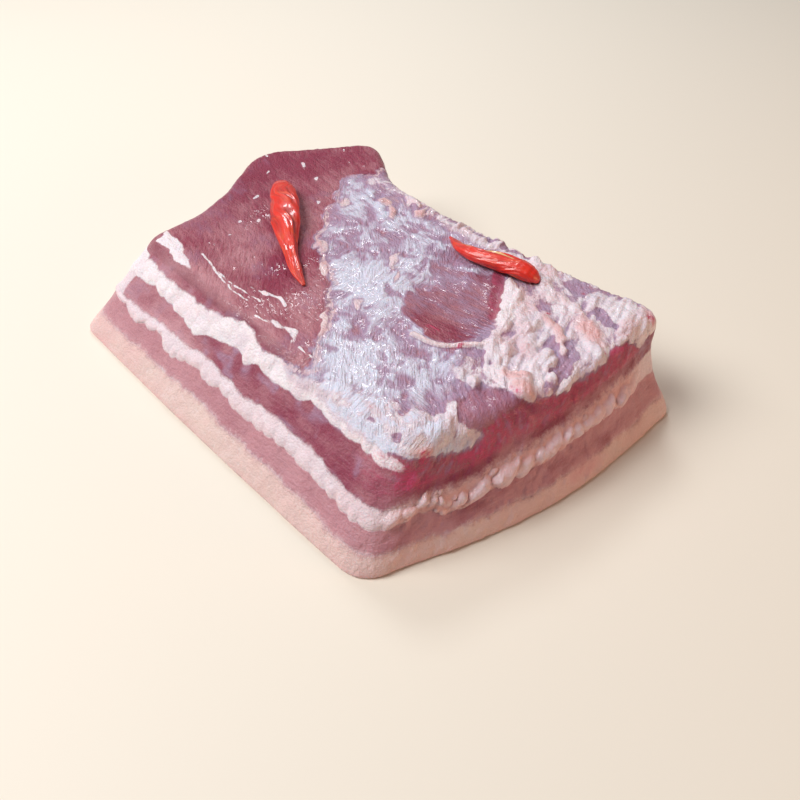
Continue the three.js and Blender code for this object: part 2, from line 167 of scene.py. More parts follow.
# Lobes and patches on the top: x, y, length, width, turn in degrees.
SALMON_LOBES = [(89.5, 35.5, 18, 8, -34), (79, 27.5, 21, 5, -32), (89, -54, 8, 6, 20),
                (-33, 46, 8, 6, -20), (-24, 42, 12, 4, -45), (-15.5, 49, 8, 4, -40),
                (93, -8, 12, 6, -10), (86, -5, 9, 5, 30)]
CREAM_LENSES = [(4, 15, 13, 4, -62), (-47, 31, 9, 4, -60), (-27, 1, 13, 3.5, -35), (12, 8, 8, 2.5, -50),
                (15, -16, 9, 3, -50), (-12, -10.5, 10, 3, -25), (14, -33.5, 17, 2.0, -48)]
MAUVE_PATCHES_AND_SHADOW = [(70, 55.5, 11, 8, -15), (94, 16, 22, 7, -55), (85, 20.5, 9, 5, -30),
                 (97, 4, 10, 5, -60), (77, -24.5, 12, 4.5, -55), (73, -33.5, 10, 4.5, -35),
                 (60, -35, 9, 6, -50), (67, -42, 12, 4, -50), (66, -57, 6, 2.6, -35),
                 (78, -56, 5.6, 4.4, 15), (67, -5, 9, 5, 30), (17, 0, 7, 3, -25),
                 (-40, 46.5, 10, 5, -35), (-19, 51, 9, 4, -40), (-57, 57, 9, 4, -60),
                 (-42, 21, 12, 7, -30), (-3, -18, 9, 4, -40), (5, -25, 8, 4, -35),
                 # The patch at (22, 36) runs along the front of the short chilli: a painted shadow of
                 # the chilli, not mauve lean.
                 (42, -18, 16, 5, -15), (25, -24, 14, 6, -35), (52, -20, 12, 4, -5), (22, 36, 30, 6, 8),
                 (8, 43, 14, 5, 20), (30, 57, 34, 2.6, 2), (-8, 28, 16, 6, -40), (-30, 33, 14, 6, -35),
                 (88, 47, 14, 5, -25), (-24, 16, 12, 5, -40)]
BLOOD_SPOTS_AND_LIP_SHADOW = [(91, -54.5, 10, 3, -48), (72.3, 34, 2.6, 2, 0), (-32.8, 47.4, 2.8, 2, 0),
               (48, -5, 8, 6, 20), (39.5, 60, 7, 6, 0), (101, 59.5, 10, 4.5, -20),
               # The strip at (60, -8.5) lies along the lower side of the lip: a painted shadow under
               # it.
               (60, -8.5, 9, 2.2, 52), (100.5, 29, 3, 2, 0), (-16, -54, 5, 1.4, -20),
               (74, 54, 2.5, 2, 0), (91, -11, 9, 2.5, -15), (61, -52.5, 2, 1.6, 0)]
FAT_LUMPS = [(96, 53, 22, 14, -12), (80, -51.5, 9, 8, 0), (88, -47, 9, 6, -25), (84, -40.5, 10, 6, -30),
             (94, -40, 9, 5, -20), (76, -45, 8, 5, -50), (62, 45, 14, 6, -30), (75, 43, 13, 5, -15),
             (69, 21, 24, 4, -52), (76, 15, 26, 4.5, -48), (84, 8, 22, 5, -50), (73, 3, 16, 7, -40),
             (66, -12, 12, 5, 15), (82, -9, 10, 6, -20), (70, -18, 12, 5, -10), (100, 12, 10, 5, -60),
             (79, -20, 7, 3, -60), (97, 3, 7, 4, -30), (50, 57, 16, 6, -10), (10, 52, 26, 6, 3),
             (90, 20, 12, 4, -45), (58, -58, 22, 5, 0), (35, -60, 18, 4, 0)]
PALE_MEAT = (-42, -51, 72, 13, -3)
HOLLOW = (42, 16, 54, 44, math.degrees(0.35))
HOLLOW_DEPTH = 1.6
MAIN_TURN = -0.62  # main direction of the strands, in radians
# How far the top's pattern runs on down the cut faces, in plan, per mm of height.
PATTERN_SLANT = (0.736, -0.7225)
PATTERN_REACH = 14.0

CHILLIES = {
    "chilli_long": {
        "spine": [(-82, 21.7), (-65.5, 11), (-48, -2), (-34.5, -11.2), (-19.5, -19.8), (-9, -24)],
        "width": 13.8, "height": 8.0, "waist": 0.44, "waist_from": 0.42, "waist_to": 0.78,
        "tip_from": 0.8, "tip_to": 1.03, "end": 0.34, "seed": 3, "slit": 0.0,
    },
    "chilli_short": {
        "spine": [(57, 46.2), (52, 45), (40.7, 42.7), (29, 40.2), (18, 40.5), (8, 45)],
        "width": 9.8, "height": 7.2, "waist": 0.9, "waist_from": 0.3, "waist_to": 0.6,
        "tip_from": 0.38, "tip_to": 1.05, "end": 0.2, "seed": 8, "slit": 1.0,
    },
}

CHILLI_SECTIONS = 190
CHILLI_SIDES = 72

# Mix of fat and lean, with painted shade and shadows laid over it, that each point of the meat carries
# for its material.
VALUES = ["lean", "deep", "milk", "blush", "blood", "hair", "turn_cos", "turn_sin"]

# Stretch of the noise along and across the fibres of the lean, and the hairs of the skin.
FIBRE_STRETCH = (0.13, 1.3, 1.0)
HAIR_STRETCH = (230.0, 1700.0, 300.0)

# The stage, in metres. Lights: place, size and tint; each takes its power from the setting of its name.
LIGHTS = {
    "key": ((-0.56, -0.60, 1.05), (0.8, 0.8), (1.0, 0.985, 0.97)),
    "back": ((-0.62, 0.52, 0.80), (0.26, 0.2), (0.95, 0.975, 1.0)),
    "fill": ((0.90, 0.45, 0.26), (0.6, 0.3), (1.0, 0.50, 0.24)),
}
LIGHT_AIM = (0, 0, 0.02)
ROOM_TINT = (0.97, 0.97, 1.0)
FLOOR_CORNERS = [(-4, -4, 0), (4, -4, 0), (4, 4, 0), (-4, 4, 0)]
FLOOR_DROP = 0.0001
CAMERA_PLACE = (0.2088, -0.1829, 0.2362)
CAMERA_BACK = (0.5125, -0.5029, 0.696)  # direction from the slab to the camera

_lattices = {}


def smooth(value, low, high):
    share = np.clip((value - low) / (high - low), 0, 1)
    return share * share * (3 - 2 * share)


def stretch(value, rise, fall):
    """1 between two limits and 0 outside them, eased over the rise and the fall."""
    return smooth(value, *rise) * (1 - smooth(value, *fall))


def noise(seed, size, x, y, z=0.0):
    """Smooth repeatable noise from -1 to 1, with features of one size."""
    cycle = 48
    if seed not in _lattices:
        _lattices[seed] = np.random.default_rng(seed).random((cycle, cycle, cycle)) * 2 - 1
    lattice = _lattices[seed]
    x, y, z = np.broadcast_arrays(x, y, np.asarray(z, float))
    cells, parts = [], []
    for axis in (x, y, z):
        scaled = axis / size + 500.0
        cell = np.floor(scaled).astype(int)
        part = scaled - cell
        cells.append(cell)
        parts.append(part * part * (3 - 2 * part))
    total = np.zeros(x.shape)
    for corner in range(8):
        weight = np.ones(x.shape)
        index = []
        for axis in range(3):
            step = (corner >> axis) & 1
            weight = weight * (parts[axis] if step else 1 - parts[axis])
            index.append((cells[axis] + step) % cycle)
        total += weight * lattice[tuple(index)]
    return np.clip(total * 1.6, -1, 1)


def edge_distance(x, y, line):
    """Distance from each point to an open line."""
    best = np.full(np.shape(x), 1e9)
    for (ax, ay), (bx, by) in zip(line[:-1], line[1:]):
        dx, dy = bx - ax, by - ay
        share = np.clip(((x - ax) * dx + (y - ay) * dy) / (dx * dx + dy * dy), 0, 1)
        best = np.minimum(best, np.hypot(x - ax - share * dx, y - ay - share * dy))
    return best


def depth_inside(x, y, outline):
    """Signed distance to a closed outline, positive inside it."""
    closed = outline + outline[:1]
    inside = np.zeros(np.shape(x), bool)
    for (ax, ay), (bx, by) in zip(closed[:-1], closed[1:]):
        if ay == by:
            continue
        crosses = (ay > y) != (by > y)
        inside ^= crosses & (x < (bx - ax) * (y - ay) / (by - ay) + ax)
    distance = edge_distance(x, y, closed)
    return np.where(inside, distance, -distance)


def oval_reach(x, y, shape):
    """Distance from the middle of an oval patch, 1 at its edge."""
    cx, cy, length, width, turn = shape
    cos, sin = math.cos(math.radians(turn)), math.sin(math.radians(turn))
    along = ((x - cx) * cos + (y - cy) * sin) / (length / 2)
    across = ((y - cy) * cos - (x - cx) * sin) / (width / 2)
    return np.hypot(along, across)


def oval(x, y, shape, soft):
    """1 inside an oval patch, fading to 0 across its edge."""
    return 1 - smooth(oval_reach(x, y, shape), 1 - soft, 1 + soft)


def curve_through(knots, count):
    """Close points on a smooth curve through the knots, and the distance along it."""
    knots = np.array(knots, float)
    knots = np.vstack([2 * knots[0] - knots[1], knots, 2 * knots[-1] - knots[-2]])
    t = np.linspace(0, 1, count, endpoint=False)[:, None]
    points = []
    for a, b, c, d in zip(knots, knots[1:], knots[2:], knots[3:]):
        points.append(0.5 * (2 * b + (c - a) * t + (2 * a - 5 * b + 4 * c - d) * t ** 2
                             + (3 * b - a - 3 * c + d) * t ** 3))
    points = np.vstack(points + [knots[-2:-1]])
    steps = np.linalg.norm(np.diff(points, axis=0), axis=1)
    return points, np.concatenate([[0], np.cumsum(steps)])


def on_line(at, travelled, points):
    """Plan points at the given distances along a line."""
    return np.stack([np.interp(at, travelled, points[:, axis]) for axis in range(2)], 1)


class Outline:
    """The slab's side as a ring of columns, with its seams."""

    BEND_POINTS, SIDE_POINTS = 40, 300
    SOFT_COLUMNS, SOFT_REACH = 12, 1.6  # how far the knots of a seam are rounded off
    LOBE_SEED = 40

    def __init__(self, count):
        base, top = self._rings()
        steps = np.linalg.norm(np.roll(base, -1, 0) - base, axis=1)
        travelled = np.concatenate([[0], np.cumsum(steps)])
        self.total = travelled[-1]
        self.along = np.linspace(0, self.total, count, endpoint=False)

        self.base, self.top = (on_line(self.along, travelled, np.vstack([ring, ring[:1]]))
                               for ring in (base, top))
        tangent = np.roll(self.base, -1, 0) - np.roll(self.base, 1, 0)
        tangent /= np.linalg.norm(tangent, axis=1, keepdims=True)
        self.out = np.stack([tangent[:, 1], -tangent[:, 0]], 1)
        corner = np.array(CORNERS[PINCH_CORNER][0], float)
        reach = np.linalg.norm(self.base - corner, axis=1)
        self.pinch = PINCH_DEPTH * (1 - smooth(reach, 0, PINCH_REACH))
        self.seams = {name: self._seam(knots) for name, knots in SEAMS.items()}
        self.beads, self.across = {}, {}
        for number, name in enumerate(LOBES):
            drop, bead, across = self._lobes(name, self.LOBE_SEED + number)
            self.seams[name] = self.seams[name] - drop
            self.beads[name], self.across[name] = bead, across

    def _rings(self):
        turn = np.linspace(0, 1, self.BEND_POINTS, endpoint=False)[:, None]
        share = np.linspace(0, 1, self.SIDE_POINTS, endpoint=False)[:, None]
        rings = []
        for level in (0, 1):
            ring = []
            for index, corner in enumerate(CORNERS):
                following = CORNERS[(index + 1) % len(CORNERS)]
                here, after = np.array(corner[level], float), np.array(following[level], float)
                before = np.array(CORNERS[index - 1][level], float)
                along = (after - here) / np.linalg.norm(after - here)
                arriving = (here - before) / np.linalg.norm(here - before)
                start = here + along * corner[2]
                end = after - along * following[2]
                enter = here - arriving * corner[2]
                ring.append((1 - turn) ** 2 * enter + 2 * turn * (1 - turn) * here + turn ** 2 * start)
                bow = np.array([along[1], -along[0]]) * BOWS[index][level]
                ring.append(start + (end - start) * share + bow * np.sin(np.pi * share))
            rings.append(np.vstack(ring))
        return rings

    def _seam(self, knots):
        at = np.array([knot[0] for knot in knots], float)
        height = np.array([knot[1] for knot in knots], float)
        at = np.concatenate([[at[-1] - self.total], at, [at[0] + self.total]])
        height = np.concatenate([[height[-1]], height, [height[0]]])
        line = np.interp(self.along, at, height)
        reach = np.arange(-self.SOFT_COLUMNS, self.SOFT_COLUMNS + 1)
        weights = np.exp(-((reach * self.total / len(self.along) / self.SOFT_REACH) ** 2))
        weights /= weights.sum()
        line = sum(w * np.roll(line, r) for w, r in zip(weights, reach))
        line = line + 0.35 * noise(5, 4.0, self.along, height[1])
        return line + 0.5 * noise(6, 13.0, self.along, height[1])

    def _lobes(self, name, seed):
        random = np.random.default_rng(seed)
        drop, bead, across = (np.zeros(len(self.along)) for _ in range(3))
        start = 0.0
        while start < self.total:
            on_cut = CUT_FACE[0] < start < CUT_FACE[1]
            width, depth, height = (CUT_FACE_LOBES if on_cut else LOBES)[name]
            width = min(width * random.uniform(0.5, 1.4), self.total - start)
            size = random.uniform(0.45, 1.25)
            inside = (self.along >= start) & (self.along < start + width)
            across[inside] = (self.along[inside] - start) / width * 2 - 1
            drop[inside] = depth * size * (1 - across[inside] ** 2)
            bead[inside] = height * (0.55 + 0.45 * size)
            start += width
        return drop, bead, across

    def point(self, z):
        """Points of the plain side at heights z, one per column."""
        share = (z / THICKNESS)[..., None]
        plan = self.base + (self.top - self.base) * share
        into = np.clip((z - (THICKNESS - EDGE_ROUND)) / EDGE_ROUND, 0, 1)
        rounding = EDGE_ROUND * (1 - np.sqrt(np.clip(1 - into ** 2, 0, 1)))
        footing = FOOT_ROUND * np.clip(1 - z / FOOT_ROUND, 0, 1) ** 2
        pinch = self.pinch * np.sin(np.pi * z / THICKNESS) ** 2
        plan = plan - self.out * (rounding + footing + pinch)[..., None]
        return np.concatenate([plan, z[..., None]], -1)

    def normal(self, z):
        """Outward direction of the plain side, turning up over the rounded edge."""
        margin, near = 0.5, 0.4
        flat = np.clip(z, FOOT_ROUND + margin, THICKNESS - EDGE_ROUND - margin)
        rise = self.point(flat + near) - self.point(flat - near)
        run = np.zeros(rise.shape)
        run[..., 0], run[..., 1] = -self.out[:, 1], self.out[:, 0]
        side = np.cross(run, rise)
        side /= np.linalg.norm(side, axis=-1, keepdims=True)
        into = np.clip((z - (THICKNESS - EDGE_ROUND)) / EDGE_ROUND, 0, 1)[..., None]
        turned = side * np.sqrt(1 - into ** 2) + np.array([0, 0, 1.0]) * into
        return turned / np.linalg.norm(turned, axis=-1, keepdims=True)


def strand_turn(x, y):
    """Direction of the fibres and strands over the top, in radians."""
    turn = MAIN_TURN + 0.6 * noise(21, 34.0, x, y) + 0.55 * noise(22, 13.0, x, y)
    turn = turn + 0.3 * noise(20, 6.0, x, y)
    right = smooth(x, 56, 72)
    turn = turn * (1 - right) + (-0.90 + 0.5 * noise(23, 16.0, x, y)) * right
    front = smooth(-y, 22, 44) * smooth(x, 20, 40)
    turn = turn * (1 - front) + (-0.75 + 0.6 * noise(24, 14.0, x, y)) * front
    in_muscle = smooth(depth_inside(x, y, MUSCLE), -1, 3)
    turn = turn * (1 - in_muscle) + (-0.42 + 0.16 * noise(25, 40.0, x, y)) * in_muscle
    in_window = smooth(depth_inside(x, y, WINDOW), -2, 2)
    turn = turn * (1 - in_window) + (0.10 + 0.15 * noise(26, 20.0, x, y)) * in_window
    in_second = smooth(depth_inside(x, y, SECOND_WINDOW), -2, 2)
    return turn * (1 - in_second) - 0.5 * in_second


class Combed:
    """Fine noise drawn out along the strands, over the whole top."""

    STEP = 0.4
    LOW = (-136.0, -104.0)
    CELLS = (680, 520)

    def __init__(self, seed, width, reach):
        cells = np.random.default_rng(seed).random(self.CELLS) * 2 - 1
        for _ in range(width):
            beside, above = np.roll(cells, 1, 0), np.roll(cells, 1, 1)
            cells = (cells + beside + above + np.roll(beside, 1, 1)) / 4
        column, row = np.meshgrid(np.arange(self.CELLS[0]), np.arange(self.CELLS[1]), indexing="ij")
        turn = strand_turn(self.LOW[0] + column * self.STEP, self.LOW[1] + row * self.STEP)
        heading = np.stack([np.cos(turn), np.sin(turn)])
        total = cells.copy()
        for sign in (-1, 1):
            at = np.stack([column, row]).astype(float)
            for _ in range(reach):
                near = self._nearest(at)
                at = at + sign * heading[:, near[0], near[1]]
                near = self._nearest(at)
                total = total + cells[near[0], near[1]]
        self.cells = np.clip(total / total.std() * 0.5, -1, 1)

    def _nearest(self, at):
        return [np.clip(np.rint(at[i]).astype(int), 0, self.CELLS[i] - 1) for i in range(2)]

    def at(self, x, y):
        column = np.clip((x - self.LOW[0]) / self.STEP, 0, self.CELLS[0] - 1.001)
        row = np.clip((y - self.LOW[1]) / self.STEP, 0, self.CELLS[1] - 1.001)
        i, j = column.astype(int), row.astype(int)
        u, v = column - i, row - j
        low = self.cells[i, j] * (1 - v) + self.cells[i, j + 1] * v
        high = self.cells[i + 1, j] * (1 - v) + self.cells[i + 1, j + 1] * v
        return low * (1 - u) + high * u


class Lumps:
    """Rounded lobes, each an ellipse: x, y, length, width and turn in degrees."""

    FULL_WIDTH = 5.0  # narrower lobes are lower too

    def __init__(self, shapes):
        self.shapes = shapes

    def at(self, x, y):
        """Height share of the highest lobe, 0 between them."""
        best = np.zeros(np.shape(x))
        for shape in self.shapes:
            cx, cy, length, width, _ = shape
            near = np.hypot(x - cx, y - cy) < length * 0.62
            dome = np.clip(1 - oval_reach(x[near], y[near], shape) ** 2, 0, 1) ** 0.7
            dome = dome * min(width / self.FULL_WIDTH, 1.0)
            best[near] = np.maximum(best[near], dome) + 0.35 * np.minimum(best[near], dome)
        return best


def strewn_lobes(seed, count, sizes):
    """Lobes of fat strewn over the stringy part of the top, following the strands."""
    random = np.random.default_rng(seed)
    shapes = []
    while len(shapes) < count:
        x, y = random.uniform(*LOBED_X), random.uniform(*LOBED_Y)
        length, aspect = random.uniform(*sizes), random.uniform(1.5, 2.9)
        turn = math.degrees(float(strand_turn(np.array(x), np.array(y)))) + random.uniform(-28, 28)
        if stringy_share(np.array(x), np.array(y)) > random.uniform(0.25, 0.9):
            shapes.append((x, y, length, length / aspect, turn))
    return Lumps(shapes)


def bead_row(seed):
    """Pearls of fat along the cut face: distance round the slab, height over the seam."""
    random = np.random.default_rng(seed)
    shapes = []
    large, small = ((5.0, 12.0), 0.82, (2.2, 3.6)), ((2.2, 4.0), 0.7, (0.2, 5.8))
    for size_range, spacing, levels in (large, small):
        place = CUT_FACE[0] - 12
        while place < CUT_FACE[1]:
            length = random.uniform(*size_range) * (0.6 + 0.4 * float(smooth(place, 215, 262)))
            level, width = random.uniform(*levels), length / random.uniform(1.15, 1.8)
            shapes.append((place, level, length, width, random.uniform(-14, 12)))
            place += length * spacing
    return Lumps(shapes)


def stringy_share(x, y):
    """1 where the top is strings and lobes of fat, 0 where it is smooth skin."""
    share = np.maximum(smooth(x + 0.35 * y, 54, 74), smooth(-y - 0.45 * (70 - x), 34, 50))
    return np.maximum(share, smooth(y, 44, 56) * smooth(x, -64, -46))


def fibre_coordinates(x, y):
    """Coordinates along and across the main direction of the fibres, in millimetres."""
    cos, sin = math.cos(MAIN_TURN), math.sin(MAIN_TURN)
    return np.stack([x * cos + y * sin, y * cos - x * sin, 0 * x], -1)


FINE_STROKES = Combed(61, 1, 5)
BROAD_STROKES = Combed(62, 5, 7)
FOLDS = Combed(66, 3, 12)
BIG_LOBES = strewn_lobes(63, 44, (8.0, 17.0))
SMALL_LOBES = strewn_lobes(64, 60, (3.5, 7.0))
BEADS = bead_row(65)


def tissue_of_top(x, y):
    """What the top is made of at plan positions, with painted shadows beside the chillies and under the
    lip and painted shade at the feet of the lobes, and how high it stands.
    """
    wx = x + 0.8 * noise(31, 3.2, x, y) + 0.9 * noise(32, 8.0, x, y)
    wy = y + 0.8 * noise(33, 3.2, x, y) + 0.9 * noise(34, 8.0, x, y)
    hair, strands, folds = FINE_STROKES.at(x, y), BROAD_STROKES.at(x, y), FOLDS.at(x, y)
    clumps = noise(37, 9.0, wx, wy) * 0.6 + noise(36, 4.5, wx, wy) * 0.4

    muscle = depth_inside(wx, wy, MUSCLE) + 0.9 * hair + 0.9 * strands
    window = depth_inside(wx, wy, WINDOW) + 0.6 * strands
    second = depth_inside(wx, wy, SECOND_WINDOW) + 0.6 * strands
    rim = depth_inside(wx, wy, RIM) + 0.8 * strands + 0.5 * hair
    wedge = np.maximum(depth_inside(wx, y, WHITE_WEDGE), depth_inside(wx, wy, FRONT_WEDGE))
    ridge = depth_inside(x + 0.5 * (wx - x), y + 0.5 * (wy - y), WHITE_RIDGE)
    strip = 2.6 - edge_distance(wx, wy, RED_STRIP)
    fringe = np.exp(-((muscle + 1.6) / 1.7) ** 2) * smooth(x + y * 0.4, -70, -30)

    stringy = np.clip(stringy_share(x, y) + 0.2 * clumps, 0, 1)
    soft_x, soft_y = x + 0.45 * (wx - x), y + 0.45 * (wy - y)
    lobes = BIG_LOBES.at(soft_x, soft_y)
    lobes = np.clip(np.maximum(lobes, SMALL_LOBES.at(soft_x, soft_y) * 0.65), 0, 1.2)

    def patches(shapes, soft):
        best = np.zeros(x.shape)
        for shape in shapes:
            best = np.maximum(best, oval(wx, wy, shape, soft))
        return best

    # The mauve patches thin the milky skin; one of them is the painted shadow in front of the short
    # chilli.
    lumps, mauve_and_shadow = patches(FAT_LUMPS, 0.4), patches(MAUVE_PATCHES_AND_SHADOW, 0.5)
    salmon, cream = patches(SALMON_LOBES, 0.55), patches(CREAM_LENSES, 0.6)
    # Blood spots, with one painted shadow under the lip among them.
    blood = np.clip(patches(BLOOD_SPOTS_AND_LIP_SHADOW, 0.9) * (1.0 + 0.7 * strands + 0.5 * clumps) - 0.15, 0, 1)
    specks = patches([(cx, cy, size * 1.5, size, -35) for cx, cy, size in FAT_SPECKS], 0.5)
    tendon = np.zeros(x.shape)
    for line, width, strength in TENDONS:
        away = smooth(edge_distance(x, 0.7 * y + 0.3 * wy, line), width * 0.3, width * 1.45)
        tendon = np.maximum(tendon, strength * (1.1 + 0.4 * strands) * (1 - away))
    lip = 1 - smooth(edge_distance(x, y, LIP), 0.6, 1.9)

    # Fat or lean, as a signed distance; lean is positive.
    bare = np.maximum.reduce([muscle, window, second, rim])
    open_rim = smooth(rim, -1.0, 1.5) + smooth(second, -1.0, 1.5)
    front_heap = smooth(-y, 33, 46) * smooth(x, 26, 48)
    heaped = 0.72 + 0.25 * front_heap + 0.36 * folds + 0.7 * lobes ** 1.3 + 0.8 * lumps
    heaped = np.clip(heaped - 1.2 * mauve_and_shadow + 0.30 * clumps, 0, 1) * stringy
    heaped = heaped * (1 - np.clip(open_rim, 0, 1))
    lean = np.maximum(bare, 1.35 - 2.9 * heaped)
    lean = np.where(ridge > -1.0, np.minimum(lean, -ridge * 1.5), lean)
    lean = np.minimum(lean, -wedge * 1.1 - 0.5 * strands - 0.4 * hair)
    lean = np.minimum(lean, 2.0 - 5.0 * np.maximum.reduce([lip, salmon, 0.7 * cream, 0.52 * fringe]))
    lean = np.minimum(lean, 3.0 - 4.4 * np.maximum(specks, tendon))
    lean = np.maximum(lean, strip * 2.0)

    # The milky skin over the top, from none to thick.
    tufts = noise(35, 2.6, x * 0.8 + 0.4 * strands, y + 0.4 * strands)
    gaps = smooth(-tufts - 0.5 * clumps, 0.15, 0.75)
    veil = 0.70 + 0.26 * clumps + 0.12 * strands + 0.14 * noise(38, 20.0, x, y) - 0.26 * gaps
    veil = veil + 0.15 * smooth(-y, -5, 25)
    veil = veil + 0.16 * stretch(x, (-14, 6), (10, 28)) * stretch(y, (-30, -5), (30, 48))
    veil = veil + 0.30 * smooth(-y, 24, 42) * stretch(x, (16, 34), (58, 74))
    veil = 0.3 + (veil - 0.3) * (1 - 0.95 * mauve_and_shadow) * (1 - 0.3 * stringy * (1 - heaped))
    veil = np.maximum(veil, 0.30 + 0.05 * clumps)
    veil = veil * (1 - 0.85 * np.maximum(salmon, cream)) * (1 - 0.75 * heaped) * (1 - 0.55 * fringe)
    front_milk = 0.76 + 0.50 * clumps + 0.34 * strands + 0.20 * tufts - 0.34 * gaps
    front_milk = front_milk * front_heap * smooth(heaped, 0.3, 0.7)
    veil = np.maximum(veil, front_milk * (1 - np.maximum(salmon, cream)))
    veil = veil * (1 - 0.9 * smooth(ridge, -1.2, 0.6)) * (1 - 0.9 * lip)
    in_second = smooth(second, -0.6, 0.8)
    veil = veil * (1 - in_second) + (0.14 - 0.13 * smooth(wx, 92, 98) + 0.06 * strands) * in_second
    in_window = smooth(window, -0.8, 0.8)
    window_veil = 0.13 + 0.08 * strands + 0.30 * smooth(wx, 58, 63)
    window_veil = window_veil + 0.20 * oval(wx, wy, (27, 22, 18, 12, 20), 0.7)
    window_veil = window_veil - 0.2 * oval(wx, wy, (46, -4, 22, 14, 10), 0.6)
    veil = veil * (1 - in_window) + window_veil * in_window
    in_muscle = smooth(muscle, -0.9, 0.9)
    muscle_veil = -0.03 + 0.08 * smooth(noise(39, 15.0, x, y), 0.0, 0.9) + 0.04 * strands
    muscle_veil = muscle_veil * (1 - np.clip(tendon, 0, 1)) + 0.12 * specks
    veil = veil * (1 - in_muscle) + muscle_veil * in_muscle
    veil = veil * (1 - smooth(strip, -0.6, 0.6) * 0.9)
    in_rim = smooth(rim, -1.0, 1.6)
    veil = veil * (1 - in_rim) + (0.02 + 0.12 * smooth(strands, 0.2, 0.9)) * in_rim
    veil = np.clip(veil * (1 - blood), 0, 1)

    deep = 0.50 + 0.16 * noise(41, 22.0, x, y) + 0.10 * noise(42, 7.0, x, y)
    back_end = smooth(-x, 60, 100) + smooth(y, 25, 60)
    deep = deep + in_muscle * (0.28 + 0.16 * np.clip(back_end, 0, 1)) + 0.10 * strands
    # The ovals at (-26, -25) and (30, 36) deepen the red in front of the long and the short chilli:
    # painted shadows of the chillies.
    deep = deep + 0.35 * oval(wx, wy, (-26, -25, 34, 14, -32), 0.9)
    deep = deep + 0.25 * oval(wx, wy, (30, 36, 46, 11, 5), 0.8) - 0.42 * oval(x, y, PALE_MEAT, 0.6)
    deep = deep - in_muscle * (0.16 * smooth(-y, 5, 30) + 0.18 * np.exp(-((muscle - 5) / 6) ** 2))
    deep = deep + 0.15 * in_rim + 0.2 * in_second + 0.14 * smooth(strip, -0.5, 0.5) + 0.3 * in_window
    blush = np.clip(0.95 * salmon + 0.6 * fringe + 0.4 * cream + 0.3 * lip, 0, 1)
    pink_lobe = smooth(noise(43, 9.0, x, y), 0.05, 0.8) * stringy
    # Pinker, darker fat round the feet of the lobes: painted shade in the creases between them.
    between = 0.5 * stringy * np.exp(-((lobes - 0.08) / 0.12) ** 2) * (lobes > 0.01)
    pink = 0.36 * pink_lobe * (1 - smooth(ridge, -1, 1)) + between
    blush = np.maximum(blush, pink * (1 - 0.8 * front_heap))
    blood = 0.75 * blood + 0.8 * in_rim * (0.85 + 0.3 * noise(47, 14.0, x, y))
    blood = np.clip(blood + 0.4 * smooth(strip, -0.5, 0.5), 0, 1)
    turn = 2 * strand_turn(x, y)

    # Relief in millimetres.
    height = -HOLLOW_DEPTH * (1 - smooth(oval_reach(x, y, HOLLOW), 0.5, 1.1))
    height = height + 1.6 * smooth(ridge, -1.5, 2.5) + 1.1 * lip * (1 - smooth(window, -1, 1) * 0.4)
    heaps = (1.6 * lobes + (0.45 - 0.25 * front_heap) * folds) * stringy + 1.0 * lumps
    height = height + heaps * (1 - np.clip(open_rim, 0, 1) * 0.8)
    height = height + 1.2 * salmon + 0.3 * cream - 0.4 * mauve_and_shadow * (1 - in_muscle)
    hairy = 1 - 0.7 * stringy * (1 - 0.85 * front_heap)
    fibres = (0.05 * hair + 0.07 * strands) * hairy + 0.08 * tufts + 0.33 * clumps
    height = height + (1 - in_muscle) * fibres
    height = height - 0.25 * in_rim - 0.4 * in_second + 0.2 * smooth(wedge, -0.6, 0.8)
    height = height + in_muscle * (0.55 * noise(44, 26.0, x, y) + 0.10 * strands + 0.04 * hair)
    height = height + 0.35 * specks + 0.25 * tendon + 0.25 * noise(45, 11.0, x, y)
    values = {"lean": lean / 0.8, "deep": deep, "milk": veil, "blush": blush, "blood": blood,
              "hair": (hair * 0.6 + strands * 0.4 + tufts * 0.2) * hairy,
              "turn_cos": np.cos(turn) * hairy ** 0.5, "turn_sin": np.sin(turn) * hairy ** 0.5}
    return values, height


